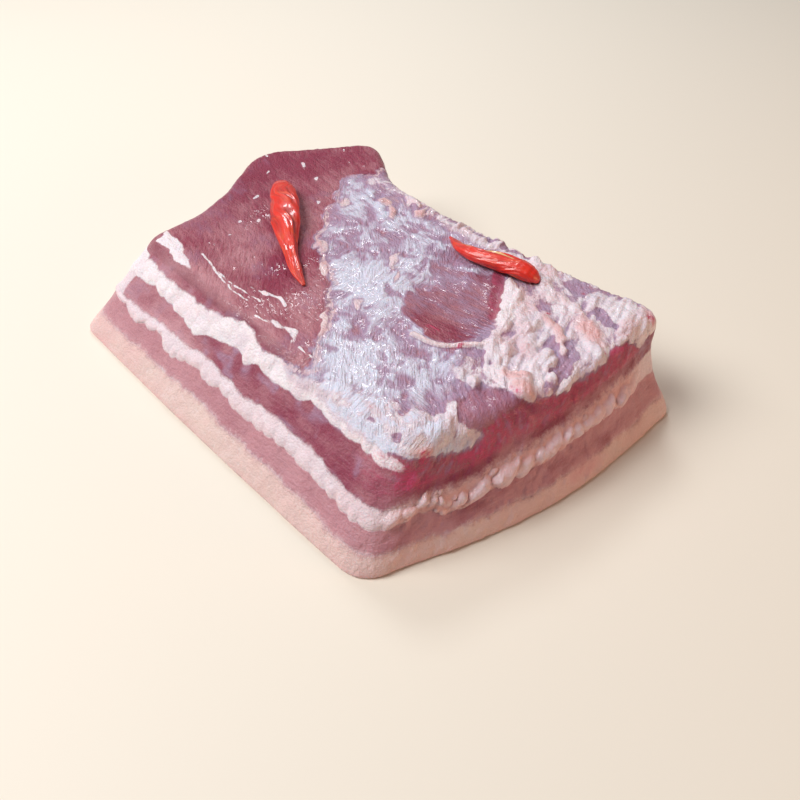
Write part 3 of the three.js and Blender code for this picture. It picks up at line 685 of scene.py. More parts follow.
def tissue_of_side(z):
    """What the side is made of at heights z of each column, with painted shade on the cut face and
    between its beads, and how far it stands out.
    """
    along = np.broadcast_to(OUTLINE.along, z.shape)
    seams = OUTLINE.seams
    low, mid, high = seams["back_fat"], seams["lower_lean"], seams["middle_fat"]
    upper, crest = seams["upper_lean"], seams["upper_fat"]
    on_cut = stretch(along, (196, 212), (318, 345))
    # Distance into each lean, over the softness of the seam that bounds it.
    lower_band = np.minimum((z - low) / 2.4, (mid - z) / 0.6)
    above = (z - high - 1.4 * on_cut) / (1.1 + 2.6 * on_cut)
    upper_band = np.minimum(above, (upper - z) / 0.6)
    top_band = z - crest
    opened = (along > 210) & (along < 345)
    upper_band = np.where(opened, np.maximum(upper_band, np.minimum(above, 4.0)), upper_band)
    lean = np.maximum.reduce([lower_band, upper_band, top_band])
    # Fat closes over the ends of the lean at the left corner.
    at_left = np.minimum(along - 15.5, 40.0)
    wrap = np.where(along < 100, at_left, np.where(along > 700, -3.0, 40.0))
    wrap = wrap + 1.5 * noise(51, 5.0, along, z)
    lean = np.where((z > mid) & (z < crest + 2), np.minimum(lean, wrap / 1.2), lean)

    # Round beads of fat along the cut face, soft scallops elsewhere.
    pearl = BEADS.at(along + 0.6 * noise(50, 4.0, along, z), z - mid) * on_cut
    lean = np.minimum(lean, 1.2 - 14.0 * pearl)

    def scallop(name, low_edge, high_edge):
        share = (z - low_edge) / np.maximum(high_edge - low_edge, 1)
        rise = np.sin(np.pi * np.clip(share, 0, 1) ** 0.6) * (1 - smooth(share, 0.3, 0.95))
        return OUTLINE.beads[name] * (1 - OUTLINE.across[name] ** 2) * rise * (1 - on_cut)

    lobes = scallop("lower_lean", mid, high) + scallop("upper_lean", upper, crest)

    # The on_cut term deepens the lean on the +X cut face: painted shade, as that face stands in shade.
    deep = 0.12 - 0.10 * smooth(along, 140, 190) * (along < 400) + 0.10 * on_cut
    deep = deep + 0.08 * noise(52, 14.0, along, z * 2) - 0.06 * smooth(low + 3 - z, 0, 3)
    middle = smooth(along, 60, 96)
    upper_deep = 0.42 + 0.42 * middle + 0.20 * noise(53, 16.0, along, z * 2)
    upper_deep = upper_deep + 0.12 * noise(49, 5.0, along, z * 2)
    upper_deep = upper_deep - 0.35 * np.exp(-((z - high) / 1.8) ** 2) * (1 - middle)
    upper_deep = upper_deep - on_cut * (0.18 - 0.26 * smooth(z, high + 2, high + 7))
    deep = np.where(z > 0.5 * (mid + high), upper_deep, deep)
    blush = 0.16 + 0.10 * noise(54, 12.0, along, z * 2) - 0.14 * smooth(z, mid, mid + 3) * (1 - on_cut)
    blush = blush + 0.22 * (1 - smooth(z, 0.5, 2.6))
    ends = 0.30 * (1 - smooth(along, 18, 95)) + 0.20 * smooth(along, 120, 190)
    blush = blush + ends * (z < mid) * (along < 400)
    blush = blush + 0.16 * (1 - smooth(z, low - 1, low + 3))
    # On the cut face the fat above the rind fat is made pinker and darker: partly its own pinker tone,
    # partly painted warm shade.
    blush = blush + on_cut * np.where(z < low + 2, -0.04, 0.46)
    # Between the beads on the cut face the fat is made pinker and darker: partly the fat's own pink,
    # partly painted shade in the crevices.
    in_row = stretch(z, (mid - 0.5, mid + 0.5), (high - 1, high + 1.5)) * on_cut
    blush = blush + in_row * (0.46 - 0.64 * np.clip(pearl * 1.4, 0, 1))
    blotch = np.exp(-(((along - 294) / 10) ** 2) - ((z - 7.0) / 3.6) ** 2)
    blush = np.clip(blush + 1.0 * blotch, 0, 1)
    corner = stretch(along, (165, 200), (200, 232))
    red_edge = on_cut * 0.95 * smooth(z, high + 3.5, high + 9)
    red_edge = red_edge * (0.75 + 0.5 * noise(48, 12.0, along, z * 2))
    blood = np.clip(red_edge + 0.30 * blotch + 0.35 * corner * smooth(z, high, high + 5), 0, 1)
    glaze = smooth(noise(55, 5.0, along, z * 1.5), 0.2, 1.0)
    milk = 0.02 + (0.06 + 0.10 * middle) * glaze * (z > high) * (1 - on_cut)

    fat = 1 - smooth(lean, -1, 1)
    swell = 0.30 * noise(56, 9.0, along, z)
    swell = swell + (0.10 + 0.16 * on_cut) * noise(57, 3.2, along, z)
    bulge = 0.35 * np.sin(np.pi * np.clip((z - mid) / np.maximum(high - mid, 1), 0, 1))
    swell = swell + (bulge * (1 - on_cut) + lobes) * fat + 2.4 * pearl
    swell = swell - 0.25 * smooth(lean, -0.5, 2.0)
    swell = swell + 0.40 * np.sin(np.pi * np.clip(z / low, 0, 1))
    swell = swell + (0.05 + 0.08 * on_cut) * noise(58, 1.8, along, z)
    swell = swell * smooth(z, 0, 1.5)
    hair = 0.5 * noise(59, 1.0, along / 2.2, z / 0.55) * smooth(lean, -1, 1)
    patchy = 0.30 * noise(46, 7.0, along * 0.5, z * 1.6) + 0.18 * noise(60, 2.4, along * 0.6, z)
    deep = deep + on_cut * patchy
    values = {"lean": lean, "deep": deep, "milk": milk, "blush": blush, "blood": blood, "hair": hair,
              "turn_cos": 0 * z, "turn_sin": 0 * z}
    return values, swell


def new_piece(name, points, faces, values, grain, material):
    """A smooth mesh object whose points, in millimetres, carry values for its material."""
    mesh = bpy.data.meshes.new(name)
    mesh.from_pydata((points * MM).tolist(), [], faces)
    mesh.polygons.foreach_set("use_smooth", np.ones(len(faces), bool))
    for key, value in values.items():
        layer = mesh.attributes.new(key, "FLOAT", "POINT")
        layer.data.foreach_set("value", np.ascontiguousarray(value, dtype=np.float32))
    layer = mesh.attributes.new("grain", "FLOAT_VECTOR", "POINT")
    layer.data.foreach_set("vector", grain.astype(np.float32).ravel())
    mesh.validate()
    mesh.update()
    mesh.materials.append(material)
    piece = bpy.data.objects.new(name, mesh)
    bpy.context.scene.collection.objects.link(piece)
    return piece


class Skin:
    """Points, faces and tissue values of one piece, welded where they meet."""

    WELDS_PER_MM = 1e4

    def __init__(self):
        self.points, self.faces, self.values, self.grain = [], [], [], []
        self.count = 0

    def add(self, points, values, grain, faces):
        shape = points.shape[:-1]
        self.points.append(points.reshape(-1, 3))
        self.values.append(np.stack([np.broadcast_to(values[key], shape).ravel() for key in VALUES], 1))
        self.grain.append(grain.reshape(-1, 3))
        self.faces.append(faces + np.where(faces >= 0, self.count, 0))
        self.count += len(self.points[-1])

    def make(self, name, material):
        """Welds the points, in the order they came, and makes the piece."""
        points = np.vstack(self.points)
        keys = np.round(points * self.WELDS_PER_MM).astype(np.int64)
        _, first, inverse = np.unique(keys, axis=0, return_index=True, return_inverse=True)
        order = np.argsort(first)
        rank = np.empty(len(first), np.int64)
        rank[order] = np.arange(len(first))
        welded, keep = rank[inverse.ravel()], first[order]
        faces = np.vstack(self.faces)
        quads = np.where(faces >= 0, welded[np.clip(faces, 0, None)], -1)
        loops = []
        for quad in quads:
            ring = []
            for corner in quad:
                if corner >= 0 and corner not in ring:
                    ring.append(int(corner))
            if len(ring) > 2:
                loops.append(ring)
        values = dict(zip(VALUES, np.vstack(self.values)[keep].T))
        piece = new_piece(name, points[keep], loops, values, np.vstack(self.grain)[keep], material)
        piece.data.set_sharp_from_angle(angle=math.radians(SHARP_ANGLE))
        return piece


def ring_faces(rows, columns, closed=True):
    """Quads between rows of points, each a ring or an open strip."""
    count = columns if closed else columns - 1
    row, column = np.meshgrid(np.arange(rows - 1), np.arange(count), indexing="ij")
    after = (column + 1) % columns
    a, b = row * columns + column, row * columns + after
    return np.stack([a, b, b + columns, a + columns], -1).reshape(-1, 4)


def blend(first, second, share):
    """Tissue values part of the way from the first to the second."""
    return {name: first[name] * (1 - share) + second[name] * share for name in VALUES}


def dressed_wall(z):
    """Points, tissue and fibre coordinates of a band of the side, at heights z of each column."""
    along, seams = OUTLINE.along, OUTLINE.seams
    plain = OUTLINE.point(z)
    side, swell = tissue_of_side(z)
    slant = np.minimum(THICKNESS - z, PATTERN_REACH) * stretch(along, (6, 24), (335, 358))
    x = plain[..., 0] + PATTERN_SLANT[0] * slant
    y = plain[..., 1] + PATTERN_SLANT[1] * slant
    top, height = tissue_of_top(x, y)

    # Height where the side's pattern gives way to the top's.
    cut = stretch(along, (198, 214), (335, 352))
    on_muscle = np.maximum(1 - smooth(along, 118, 138), smooth(along, 538, 552))
    start = np.maximum(seams["upper_fat"], 38.0) * on_muscle
    start = start + (seams["upper_lean"] + 1.5) * (1 - on_muscle)
    start = np.minimum(start, 39.5) * (1 - cut) + (seams["middle_fat"] + 3.0) * cut
    values = blend(side, top, smooth(z, start, np.minimum(start + 3.0 + 2 * cut, 41.8)))
    rise = smooth(z, np.maximum(start, 34), 41.5)
    out = swell * (1 - rise) + height * rise
    grain = np.stack([np.broadcast_to(along, z.shape), z, 0 * z], -1)
    grain = grain * (1 - rise[..., None]) + fibre_coordinates(x, y) * rise[..., None]
    return plain + OUTLINE.normal(z) * out[..., None], values, grain


def edge_heights(start, rows):
    """Heights evenly spaced along the side from start up over the rounded edge."""
    bend = THICKNESS - EDGE_ROUND
    first = np.arcsin(np.clip((start - bend) / EDGE_ROUND, 0, 1))
    straight = np.maximum(bend - start, 0)
    length = straight + EDGE_ROUND * (np.pi / 2 - first)
    gone = np.linspace(0, 1, rows)[:, None] * length
    angle = first + np.maximum(gone - straight, 0) / EDGE_ROUND
    return np.where(gone < straight, start + gone, bend + EDGE_ROUND * np.sin(angle))


def rings_inward(ring, centre, step):
    """Plan points and faces that fill a ring towards its centre, thinning as they go."""
    crowded, fewest = 0.62 * step, 12
    reach = np.linalg.norm(ring - centre, axis=1)
    length = np.linalg.norm(np.roll(ring, -1, 0) - ring, axis=1).sum()
    count = max(2, int(np.ceil(reach.mean() / step)))
    points, faces = [ring], []
    edge = ring
    outer = np.arange(len(ring))
    total = len(ring)
    for index in range(1, count):
        share = 1 - index / count
        size = len(edge)
        if length * share / size < crowded and size > fewest:
            edge = edge[::2]
            inner = total + np.arange(len(edge))
            for at in range(len(edge)):
                a = outer[2 * at]
                after = inner[(at + 1) % len(edge)]
                if 2 * at + 1 < size:
                    b, c = outer[2 * at + 1], outer[(2 * at + 2) % size]
                    faces += [(a, b, inner[at], -1), (b, c, after, -1), (b, after, inner[at], -1)]
                else:
                    faces.append((a, outer[0], after, inner[at]))
        else:
            inner = total + np.arange(size)
            nxt = np.roll(np.arange(size), -1)
            faces += list(zip(outer, outer[nxt], inner[nxt], inner))
        points.append(centre + (edge - centre) * share)
        total += len(edge)
        outer = inner
    points.append(np.array([centre], float))
    faces += [(outer[at], outer[(at + 1) % len(outer)], total, -1) for at in range(len(outer))]
    return np.vstack(points), np.array(faces, np.int64)


def add_top(skin, ring, centre):
    """Fills the top inside a ring of dressed points."""
    plan, faces = rings_inward(ring[:, :2], np.array(centre, float), TOP_STEP)
    values, height = tissue_of_top(plan[:, 0], plan[:, 1])
    points = np.column_stack([plan, THICKNESS + height])
    points[: len(ring)] = ring
    skin.add(points, values, fibre_coordinates(plan[:, 0], plan[:, 1]), faces)


def add_cap(skin, ring, centre, level, lean, upward, step=HIDDEN_STEP):
    """Closes a ring with a plain inner face that nothing shows."""
    plan, faces = rings_inward(ring[:, :2], np.array(centre, float), step)
    points = np.column_stack([plan, np.full(len(plan), float(level))])
    points[: len(ring)] = ring
    if not upward:
        faces = np.where(faces[:, 3:] >= 0, faces[:, ::-1], faces[:, [1, 0, 2, 3]])
    skin.add(points, plain_values(len(plan), lean), points.copy(), faces)


OUTLINE = Outline(COLUMNS)


def piece_edge_line(start, end):
    """The line across the top where the muscle's piece meets the fat's."""
    points, travelled = curve_through([start, *PIECE_EDGE[1:-1], end], 60)
    even = np.linspace(0, travelled[-1], int(travelled[-1] / PIECE_EDGE_STEP))
    return on_line(even, travelled, points)


class TopParts:
    """Shared edges of the two pieces that make up the top."""

    def __init__(self):
        rim = OUTLINE.point(np.full(COLUMNS, THICKNESS))[:, :2]
        self.front, self.back = (int(np.argmin(np.linalg.norm(rim - np.array(PIECE_EDGE[end]), axis=1)))
                                 for end in (0, -1))
        index = np.arange(COLUMNS)
        self.muscle = (index > self.back) | (index < self.front)
        self.muscle_side = np.roll(index, -self.back)[: (self.front - self.back) % COLUMNS + 1]
        self.level = np.where(self.muscle, OUTLINE.seams["upper_fat"], THICKNESS)
        line = piece_edge_line(rim[self.front], rim[self.back])
        _, height = tissue_of_top(line[:, 0], line[:, 1])
        self.upper_line = np.column_stack([line, THICKNESS + height])
        share = np.linspace(0, 1, len(line))
        depth = PIECE_EDGE_DEPTH * np.clip(np.minimum(share, 1 - share) * 12, 0, 1)
        self.lower_line = self.upper_line - np.column_stack([0 * share, 0 * share, depth])

    def add_step(self, skin, lean):
        """The hidden step where the fat's piece and the muscle's piece meet."""
        step = np.stack([self.lower_line, self.upper_line])
        faces = ring_faces(2, len(self.lower_line), False)
        skin.add(step, plain_values(step.shape[:2], lean), step, faces if lean else faces[:, ::-1])


def plain_values(count, lean):
    """Tissue values of inner faces that nothing shows."""
    values = {name: np.full(count, 0.3) for name in VALUES}
    values["lean"] = np.full(count, 3.0 if lean else -3.0)
    values["milk"] = values["blood"] = np.full(count, 0.02)
    return values


def layer_skin(name):
    """One of the four layers between two seams."""
    names = list(SOLID_LAYERS)
    lowest, lean = name == names[0], name.endswith("lean")
    high = OUTLINE.seams[name]
    low = np.zeros(COLUMNS) if lowest else OUTLINE.seams[names[names.index(name) - 1]]
    heights = low + (high - low) * np.linspace(0, 1, SOLID_LAYERS[name][0])[:, None]
    if lowest:
        heights = np.vstack([heights[:1], np.full((1, COLUMNS), FOOT_ROW), heights[1:]])
    skin = Skin()
    points, values, grain = dressed_wall(heights)
    skin.add(points, values, grain, ring_faces(len(heights), COLUMNS))
    add_cap(skin, points[0], SLAB_CENTRE, low.mean(), lean, False, RIND_STEP if lowest else HIDDEN_STEP)
    add_cap(skin, points[-1], SLAB_CENTRE, high.mean(), lean, True)
    return skin


def upper_fat_skin(parts):
    """The upper fat: its side, its part of the top and the seat of the muscle."""
    low = OUTLINE.seams["upper_lean"]
    skin = Skin()
    to_seam = low + (parts.level - low) * np.linspace(0, 1, UPPER_FAT_ROWS)[:, None]
    heights = np.where(parts.muscle, to_seam, edge_heights(low, UPPER_FAT_ROWS))
    points, values, grain = dressed_wall(heights)
    skin.add(points, values, grain, ring_faces(UPPER_FAT_ROWS, COLUMNS))
    add_cap(skin, points[0], SLAB_CENTRE, low.mean(), False, False)
    crest = points[-1]
    fat_ring = np.vstack([crest[parts.front: parts.back + 1], parts.upper_line[::-1][1:-1]])
    add_top(skin, fat_ring, FAT_CENTRE)
    seat_ring = np.vstack([crest[parts.muscle_side], parts.lower_line[1:-1]])
    add_cap(skin, seat_ring, SEAT_CENTRE, SEAT_LEVEL, False, True)
    parts.add_step(skin, False)
    return skin


def top_lean_skin(parts):
    """The muscle over one end: its side, its part of the top and its underside."""
    skin = Skin()
    heights = edge_heights(parts.level, TOP_LEAN_ROWS)
    heights[:, [parts.front, parts.back]] = THICKNESS
    points, values, grain = dressed_wall(heights)
    points, grain = points[:, parts.muscle_side], grain[:, parts.muscle_side]
    values = {name: value[:, parts.muscle_side] for name, value in values.items()}
    skin.add(points, values, grain, ring_faces(TOP_LEAN_ROWS, len(parts.muscle_side), False))
    add_top(skin, np.vstack([points[-1], parts.upper_line[1:-1]]), MUSCLE_CENTRE)
    seat_ring = np.vstack([points[0], parts.lower_line[1:-1]])
    add_cap(skin, seat_ring, SEAT_CENTRE, SEAT_LEVEL, True, False)
    parts.add_step(skin, True)
    return skin


def chilli_girth(shape, share):
    """Thickness along a chilli: a round stalk end, a waist and a drawn-out tip."""
    girth = np.sqrt(np.clip(1 - (1 - np.minimum(share / shape["end"], 1)) ** 2, 0.001, 1))
    girth = girth * (1 + (shape["waist"] - 1) * smooth(share, shape["waist_from"], shape["waist_to"]))
    return girth * np.sqrt(np.clip(1 - smooth(share, shape["tip_from"], shape["tip_to"]), 0.0004, 1))


def chilli_piece(name, shape, material):
    """A wrinkled dried chilli along its spine, resting on the slab's top."""
    sections, sides = CHILLI_SECTIONS, CHILLI_SIDES
    fine, travelled = curve_through(shape["spine"], 40)
    total = travelled[-1]
    # Sections stand closer together at both ends.
    share = 0.5 - 0.5 * np.cos(np.pi * np.linspace(0.02, 0.985, sections))
    share = 0.35 * share + 0.65 * np.linspace(0.004, 0.996, sections)
    middle = on_line(share * total, travelled, fine)
    tangent = np.gradient(middle, axis=0)
    tangent /= np.linalg.norm(tangent, axis=1, keepdims=True)
    across = np.stack([-tangent[:, 1], tangent[:, 0]], 1)
    girth = chilli_girth(shape, share)[:, None]

    s, a = np.meshgrid(share * total, np.linspace(0, 2 * np.pi, sides, endpoint=False), indexing="ij")
    seed = shape["seed"] * 10
    twist = a + 0.9 * np.sin(s / total * 4.0 + seed) + 0.35 * noise(seed, 9.0, s, 0 * s)
    ring_x, ring_y = np.cos(twist), np.sin(twist)
    broad = noise(seed + 1, 1.0, s / 20, ring_x * 1.15, ring_y * 1.15)
    folds = 1 - np.abs(noise(seed + 2, 1.0, s / 22, ring_x * 1.9, ring_y * 1.9)) * 2
    wrinkles = 1 - np.abs(noise(seed + 3, 1.0, s / 9.0, ring_x * 3.2, ring_y * 3.2)) * 2
    crackle = noise(seed + 4, 1.0, s / 2.2, ring_x * 4.5, ring_y * 4.5)
    relief = 0.04 * broad + 0.05 * folds + 0.03 * wrinkles + 0.008 * crackle - 0.05
    relief = relief * smooth(s / total, 0.0, 0.2)
    slit = shape["slit"] * np.exp(-((a - 1.95) / 0.13) ** 2)
    slit = slit * stretch(s / total, (0.2, 0.3), (0.72, 0.9))
    relief = relief - 0.08 * slit

    flat_x = np.sign(np.cos(a)) * np.abs(np.cos(a)) ** 0.92
    out = (shape["width"] / 2) * girth * (1 + relief) * flat_x
    squash = 1 - 0.16 * smooth(np.sin(a), 0.2, 1.0) * (0.5 + 0.5 * np.cos(s / total * 7 + seed))
    up = (shape["height"] / 2) * girth * (1 + (1 + relief * 1.5) * np.sin(a) * squash)
    plan = middle[:, None, :] + across[:, None, :] * out[..., None]
    _, under = tissue_of_top(np.repeat(middle[:, :1], sides, 1), np.repeat(middle[:, 1:], sides, 1))
    _, beneath = tissue_of_top(plan[..., 0], plan[..., 1])
    level = np.maximum(THICKNESS + 0.5 * under + 0.35 + up, THICKNESS + beneath + 0.15)
    points = np.concatenate([plan, level[..., None]], -1)

    ends = [points[0].mean(0), points[-1].mean(0)]
    faces = ring_faces(sections, sides)[:, ::-1].tolist()
    first, last = sections * sides, sections * sides + 1
    for at in range(sides):
        after = (at + 1) % sides
        faces.append([first, at, after])
        faces.append([last, (sections - 1) * sides + after, (sections - 1) * sides + at])
    # The groove depth below paints shade into the chilli's creases.
    values = {"crease": np.clip(0.45 - 3.0 * (relief + 0.05), 0, 1), "share": s / total,
              # facing, 1 on the upper side, lays a painted sheen there.
              "facing": 0.5 + 0.5 * np.sin(a), "slit": slit}
    values = {key: np.append(value.ravel(), [0.5, 0.5]) for key, value in values.items()}
    grain = np.stack([s, ring_x * shape["width"] / 2, ring_y * shape["width"] / 2], -1).reshape(-1, 3)
    return new_piece(name, np.vstack([points.reshape(-1, 3), ends]), faces, values,
                     np.vstack([grain, grain[:2]]), material)


class Socket:
    """A shader value that can be used in sums."""

    def __init__(self, shader, socket):
        self.shader, self.socket = shader, socket

    def _math(self, operation, *terms):
        inputs = {index: term for index, term in enumerate(terms)}
        return self.shader.add("ShaderNodeMath", {"operation": operation}, inputs)

    def __add__(self, other):
        return self._math("ADD", self, other)

    __radd__ = __add__

    def __sub__(self, other):
        return self._math("SUBTRACT", self, other)

    def __rsub__(self, other):
        return self._math("SUBTRACT", other, self)

    def __mul__(self, other):
        return self._math("MULTIPLY", self, other)

    __rmul__ = __mul__

    def clamped(self):
        return self.shader.add("ShaderNodeClamp", {}, {0: self})

    def positive(self):
        return self._math("MAXIMUM", self, 0.0)

    def stepped(self, low, high):
        return self.shader.add("ShaderNodeMapRange", {"interpolation_type": "SMOOTHSTEP"},
                               {0: self, 1: low, 2: high, 3: 0.0, 4: 1.0})


class Shader:
    """Builds one material's nodes."""

    def __init__(self, name):
        self.material = bpy.data.materials.new(name)
        self.material.use_nodes = True
        self.tree = self.material.node_tree
        self.tree.nodes.clear()

    def add(self, kind, settings, inputs, output=0):
        node = self.tree.nodes.new(kind)
        for key, value in settings.items():
            setattr(node, key, value)
        for key, value in inputs.items():
            target = node.inputs[key]
            if isinstance(value, Socket):
                self.tree.links.new(value.socket, target)
            elif target.type == "RGBA":
                target.default_value = (*tuple(value)[:3], 1)
            else:
                target.default_value = value
        return Socket(self, node.outputs[output]) if node.outputs else None

    def value(self, name):
        return self.add("ShaderNodeAttribute", {"attribute_name": name}, {}, "Fac")

    def vector(self, name):
        return self.add("ShaderNodeAttribute", {"attribute_name": name}, {}, "Vector")

    def scaled(self, vector, sizes):
        return self.add("ShaderNodeVectorMath", {"operation": "MULTIPLY"}, {0: vector, 1: sizes})

    def mix(self, factor, first, second):
        return self.add("ShaderNodeMix", {"data_type": "RGBA"}, {0: factor, 6: first, 7: second}, 2)

    def noise(self, vector, scale, detail=3.0, rough=0.55, twist=0.0):
        return self.add("ShaderNodeTexNoise", {"noise_dimensions": "3D"},
                        {"Vector": vector, "Scale": scale, "Detail": detail, "Roughness": rough,
                         "Distortion": twist})

    def bump(self, height, strength, distance):
        return self.add("ShaderNodeBump", {},
                        {"Height": height, "Strength": strength, "Distance": distance})

    def surface(self, inputs):
        bsdf = self.add("ShaderNodeBsdfPrincipled", {}, inputs)
        self.add("ShaderNodeOutputMaterial", {}, {"Surface": bsdf})
        return self.material


def meat_material(name, looks, wet, fibre, streaks, fat_shade, shade=0.0):
    """Raw pork: fat, lean, milky skin and blood, mixed by the piece's own tissue values, which also
    carry painted shade and shadows.
    """
    shader = Shader(name)
    place = shader.add("ShaderNodeTexCoord", {}, {}, "Object")
    grain = shader.vector("grain")
    lean, deep = shader.value("lean"), shader.value("deep")
    milk, blush, blood = shader.value("milk"), shader.value("blush"), shader.value("blood")
    combed = shader.value("hair")

    fine = shader.noise(place, 1 / looks.speckle_size, 2.0, 0.6)
    mottle = shader.noise(place, 1 / looks.mottle_size, 3.0, 0.6)
    broad = shader.noise(place, 1 / looks.patch_size, 2.0, 0.5)
    fibres = shader.noise(shader.scaled(grain, FIBRE_STRETCH), 1.0, 4.0, 0.65, 0.3)
    # Hairs drawn in four directions, weighted by how near each is to the strands' own.
    combing = {0.0: shader.value("turn_cos"), 45.0: shader.value("turn_sin")}
    hairs = 0.0
    for degrees, share in combing.items():
        for quarter, weight in ((0.0, share.positive()), (90.0, (share * -1.0).positive())):
            turned = shader.add("ShaderNodeVectorRotate", {"rotation_type": "Z_AXIS"},
                                {"Vector": place, "Angle": -math.radians(degrees + quarter)})
            drawn = shader.noise(shader.scaled(turned, HAIR_STRETCH), 1.0, 2.0, 0.6, 0.3)
            hairs = (drawn - 0.5) * weight * weight + hairs
    strokes = combed * 0.7 + hairs * 3.2 + (mottle - 0.5) * 0.8

    lean_mask = (lean + (mottle - 0.5) * 1.5 + (fine - 0.5) * 0.6).stepped(-0.7, 0.7)
    film = milk + strokes * 0.22 * (milk * 4.0).clamped()

    depth = (deep + (fibres - 0.5) * streaks + (broad - 0.5) * 0.45 + (fine - 0.5) * 0.38
             + combed * 0.1 + hairs * 1.0).clamped()
    red = shader.mix(depth, looks.pale_lean, looks.deep_lean)
    shaded = (mottle * 0.9 + broad * 0.5 + (fine - 0.5) * 1.2 + shade - 0.4).clamped()
    white = shader.mix(shaded, looks.fat, fat_shade)
    pink = (blush + (broad - 0.5) * 0.3 + (fine - 0.5) * 0.2).clamped()
    white = shader.mix(pink, white, looks.salmon)
    body = shader.mix(lean_mask, white, red)
    stain = blood * ((fibres - 0.5) * 1.6 + (mottle - 0.5) * 1.8 + (fine - 0.5) * 1.2 + hairs * 2.4
                     + combed * 0.4 + 0.88)
    body = shader.mix(stain.stepped(0.05, 1.1) * 0.92, body, looks.blood)
    body = shader.mix((film * 2.8).clamped() * (lean_mask * 0.56 + 0.36), body, looks.veil_shade)
    body = shader.mix(film.stepped(0.35, 1.0) * 0.95, body, looks.veil)

    height = fibres * lean_mask * 0.4 + fine * 0.55 + mottle * 0.7 + combed * 0.2 + hairs * 1.0
    normal = shader.bump(height, fibre, looks.grain_depth)
    rough = (0.24 + mottle * 0.2 + (broad - 0.5) * 0.12 + fine * 0.06 + milk * 0.22).clamped()
    coat = (fine * 4.0 + mottle * 1.5 - 2.68).clamped() * wet
    return shader.surface({
        "Base Color": body, "Roughness": rough, "Normal": normal, "Coat Weight": coat,
        "Coat Roughness": 0.06, "Coat IOR": 1.42, "IOR": 1.40, "Specular IOR Level": 0.4,
        "Subsurface Weight": 0.2, "Subsurface Radius": (1.0, 0.4, 0.3), "Subsurface Scale": 0.0014,
    })


def chilli_material(name, looks):
    """Glossy dried chilli skin, with painted shade in its creases and a painted pink sheen on its upper
    side.
    """
    shader = Shader(name)
    grain = shader.vector("grain")
    crease, share, facing = shader.value("crease"), shader.value("share"), shader.value("facing")
    broad = shader.noise(grain, 0.16, 3.0, 0.55, 0.5)
    streak = shader.noise(shader.scaled(grain, (0.12, 0.8, 0.8)), 1.0, 4.0, 0.6, 0.8)
    fine = shader.noise(grain, 2.2, 3.0, 0.65)
    # Darker in the grooves of the relief: painted shade, with darker streaks of the skin's own.
    dark = (crease * 1.5 + (streak - 0.5) * 1.1 - 0.45).clamped()
    body = shader.mix(dark, looks.chilli, looks.chilli_dark_and_shade)
    warm = ((broad - 0.5) * 2.6 + share * 0.25).stepped(0.1, 0.9)
    body = shader.mix(warm * 0.75, body, looks.chilli_orange)
    # A pink wash over the upper side, in streaks: a painted sheen.
    dull = ((streak - 0.5) * 2.2 + (broad - 0.5) * 1.5).stepped(0.1, 0.9)
    body = shader.mix(dull * facing * 0.25, body, looks.chilli_sheen)
    body = shader.mix(shader.value("slit").stepped(0.3, 0.8), body, looks.chilli_slit)
    normal = shader.bump(streak * 0.9 + fine * 0.25, 0.5, 0.0006)
    rough = 0.24 + fine * 0.22
    return shader.surface({
        "Base Color": body, "Roughness": rough, "Normal": normal,
        "Coat Weight": 0.6, "Coat Roughness": 0.05,
        "Subsurface Weight": 0.15, "Subsurface Radius": (1.0, 0.25, 0.1), "Subsurface Scale": 0.0015,
    })


def colour(name, description, value):
    return bpy.props.FloatVectorProperty(
        name=name, description=description, subtype="COLOR", size=3, min=0.0, max=1.0, default=value)


def length(name, description, value):
    return bpy.props.FloatProperty(name=name, description=description, unit="LENGTH", min=value * 0.2,
                                   max=value * 5, precision=4, default=value)


def amount(name, description, value, unit="NONE"):
    return bpy.props.FloatProperty(name=name, description=description, unit=unit, default=value)


class MeatLooks(bpy.types.PropertyGroup):
    """Colours and grain of the meat and the chillies"""

    fat: colour("Fat", "Clean white fat", (0.90, 0.825, 0.865))
    rind_fat: colour("Rind fat", "Warmer fat beside the rind", (0.76, 0.60, 0.545))
    fat_shade: colour("Fat shade", "Fat between its lobes", (0.76, 0.62, 0.67))
    salmon: colour("Salmon fat", "Fat stained pink", (0.77, 0.46, 0.46))
    pale_lean: colour("Pale lean", "Lightest meat", (0.56, 0.27, 0.305))
    deep_lean: colour("Deep lean", "Darkest meat", (0.27, 0.036, 0.074))
    blood: colour("Blood", "Wet blood-red meat", (0.61, 0.055, 0.15))
    veil: colour("Veil", "Milky skin over the top", (0.72, 0.72, 0.855))
    veil_shade: colour("Veil shade", "Thin milky skin", (0.42, 0.285, 0.42))
    chilli: colour("Chilli", "Dried chilli skin", (0.80, 0.028, 0.012))
    # Painted shade in the chilli's creases, and its darker streaks.
    chilli_dark_and_shade: colour("Chilli dark", "Creases of the chilli", (0.26, 0.008, 0.01))
    chilli_orange: colour("Chilli orange", "Thin glowing chilli skin", (0.85, 0.10, 0.015))
    # Painted pink sheen laid on the chilli's upper side.
    chilli_sheen: colour("Chilli bloom", "Dusty wrinkled chilli skin", (0.72, 0.20, 0.18))
    chilli_slit: colour("Chilli slit", "Pale edge where the chilli has split", (0.80, 0.50, 0.22))
    floor: colour("Floor", "Plain floor under the slab", (0.84, 0.78, 0.68))
    speckle_size: length("Speckle size", "Size of the finest wet speckle", 0.0009)
    mottle_size: length("Mottle size", "Size of the small blotches in fat and lean", 0.0033)
    patch_size: length("Patch size", "Size of the broad lighter and darker patches", 0.0165)
    grain_depth: length("Grain depth", "Height of the finest relief", 0.0010)


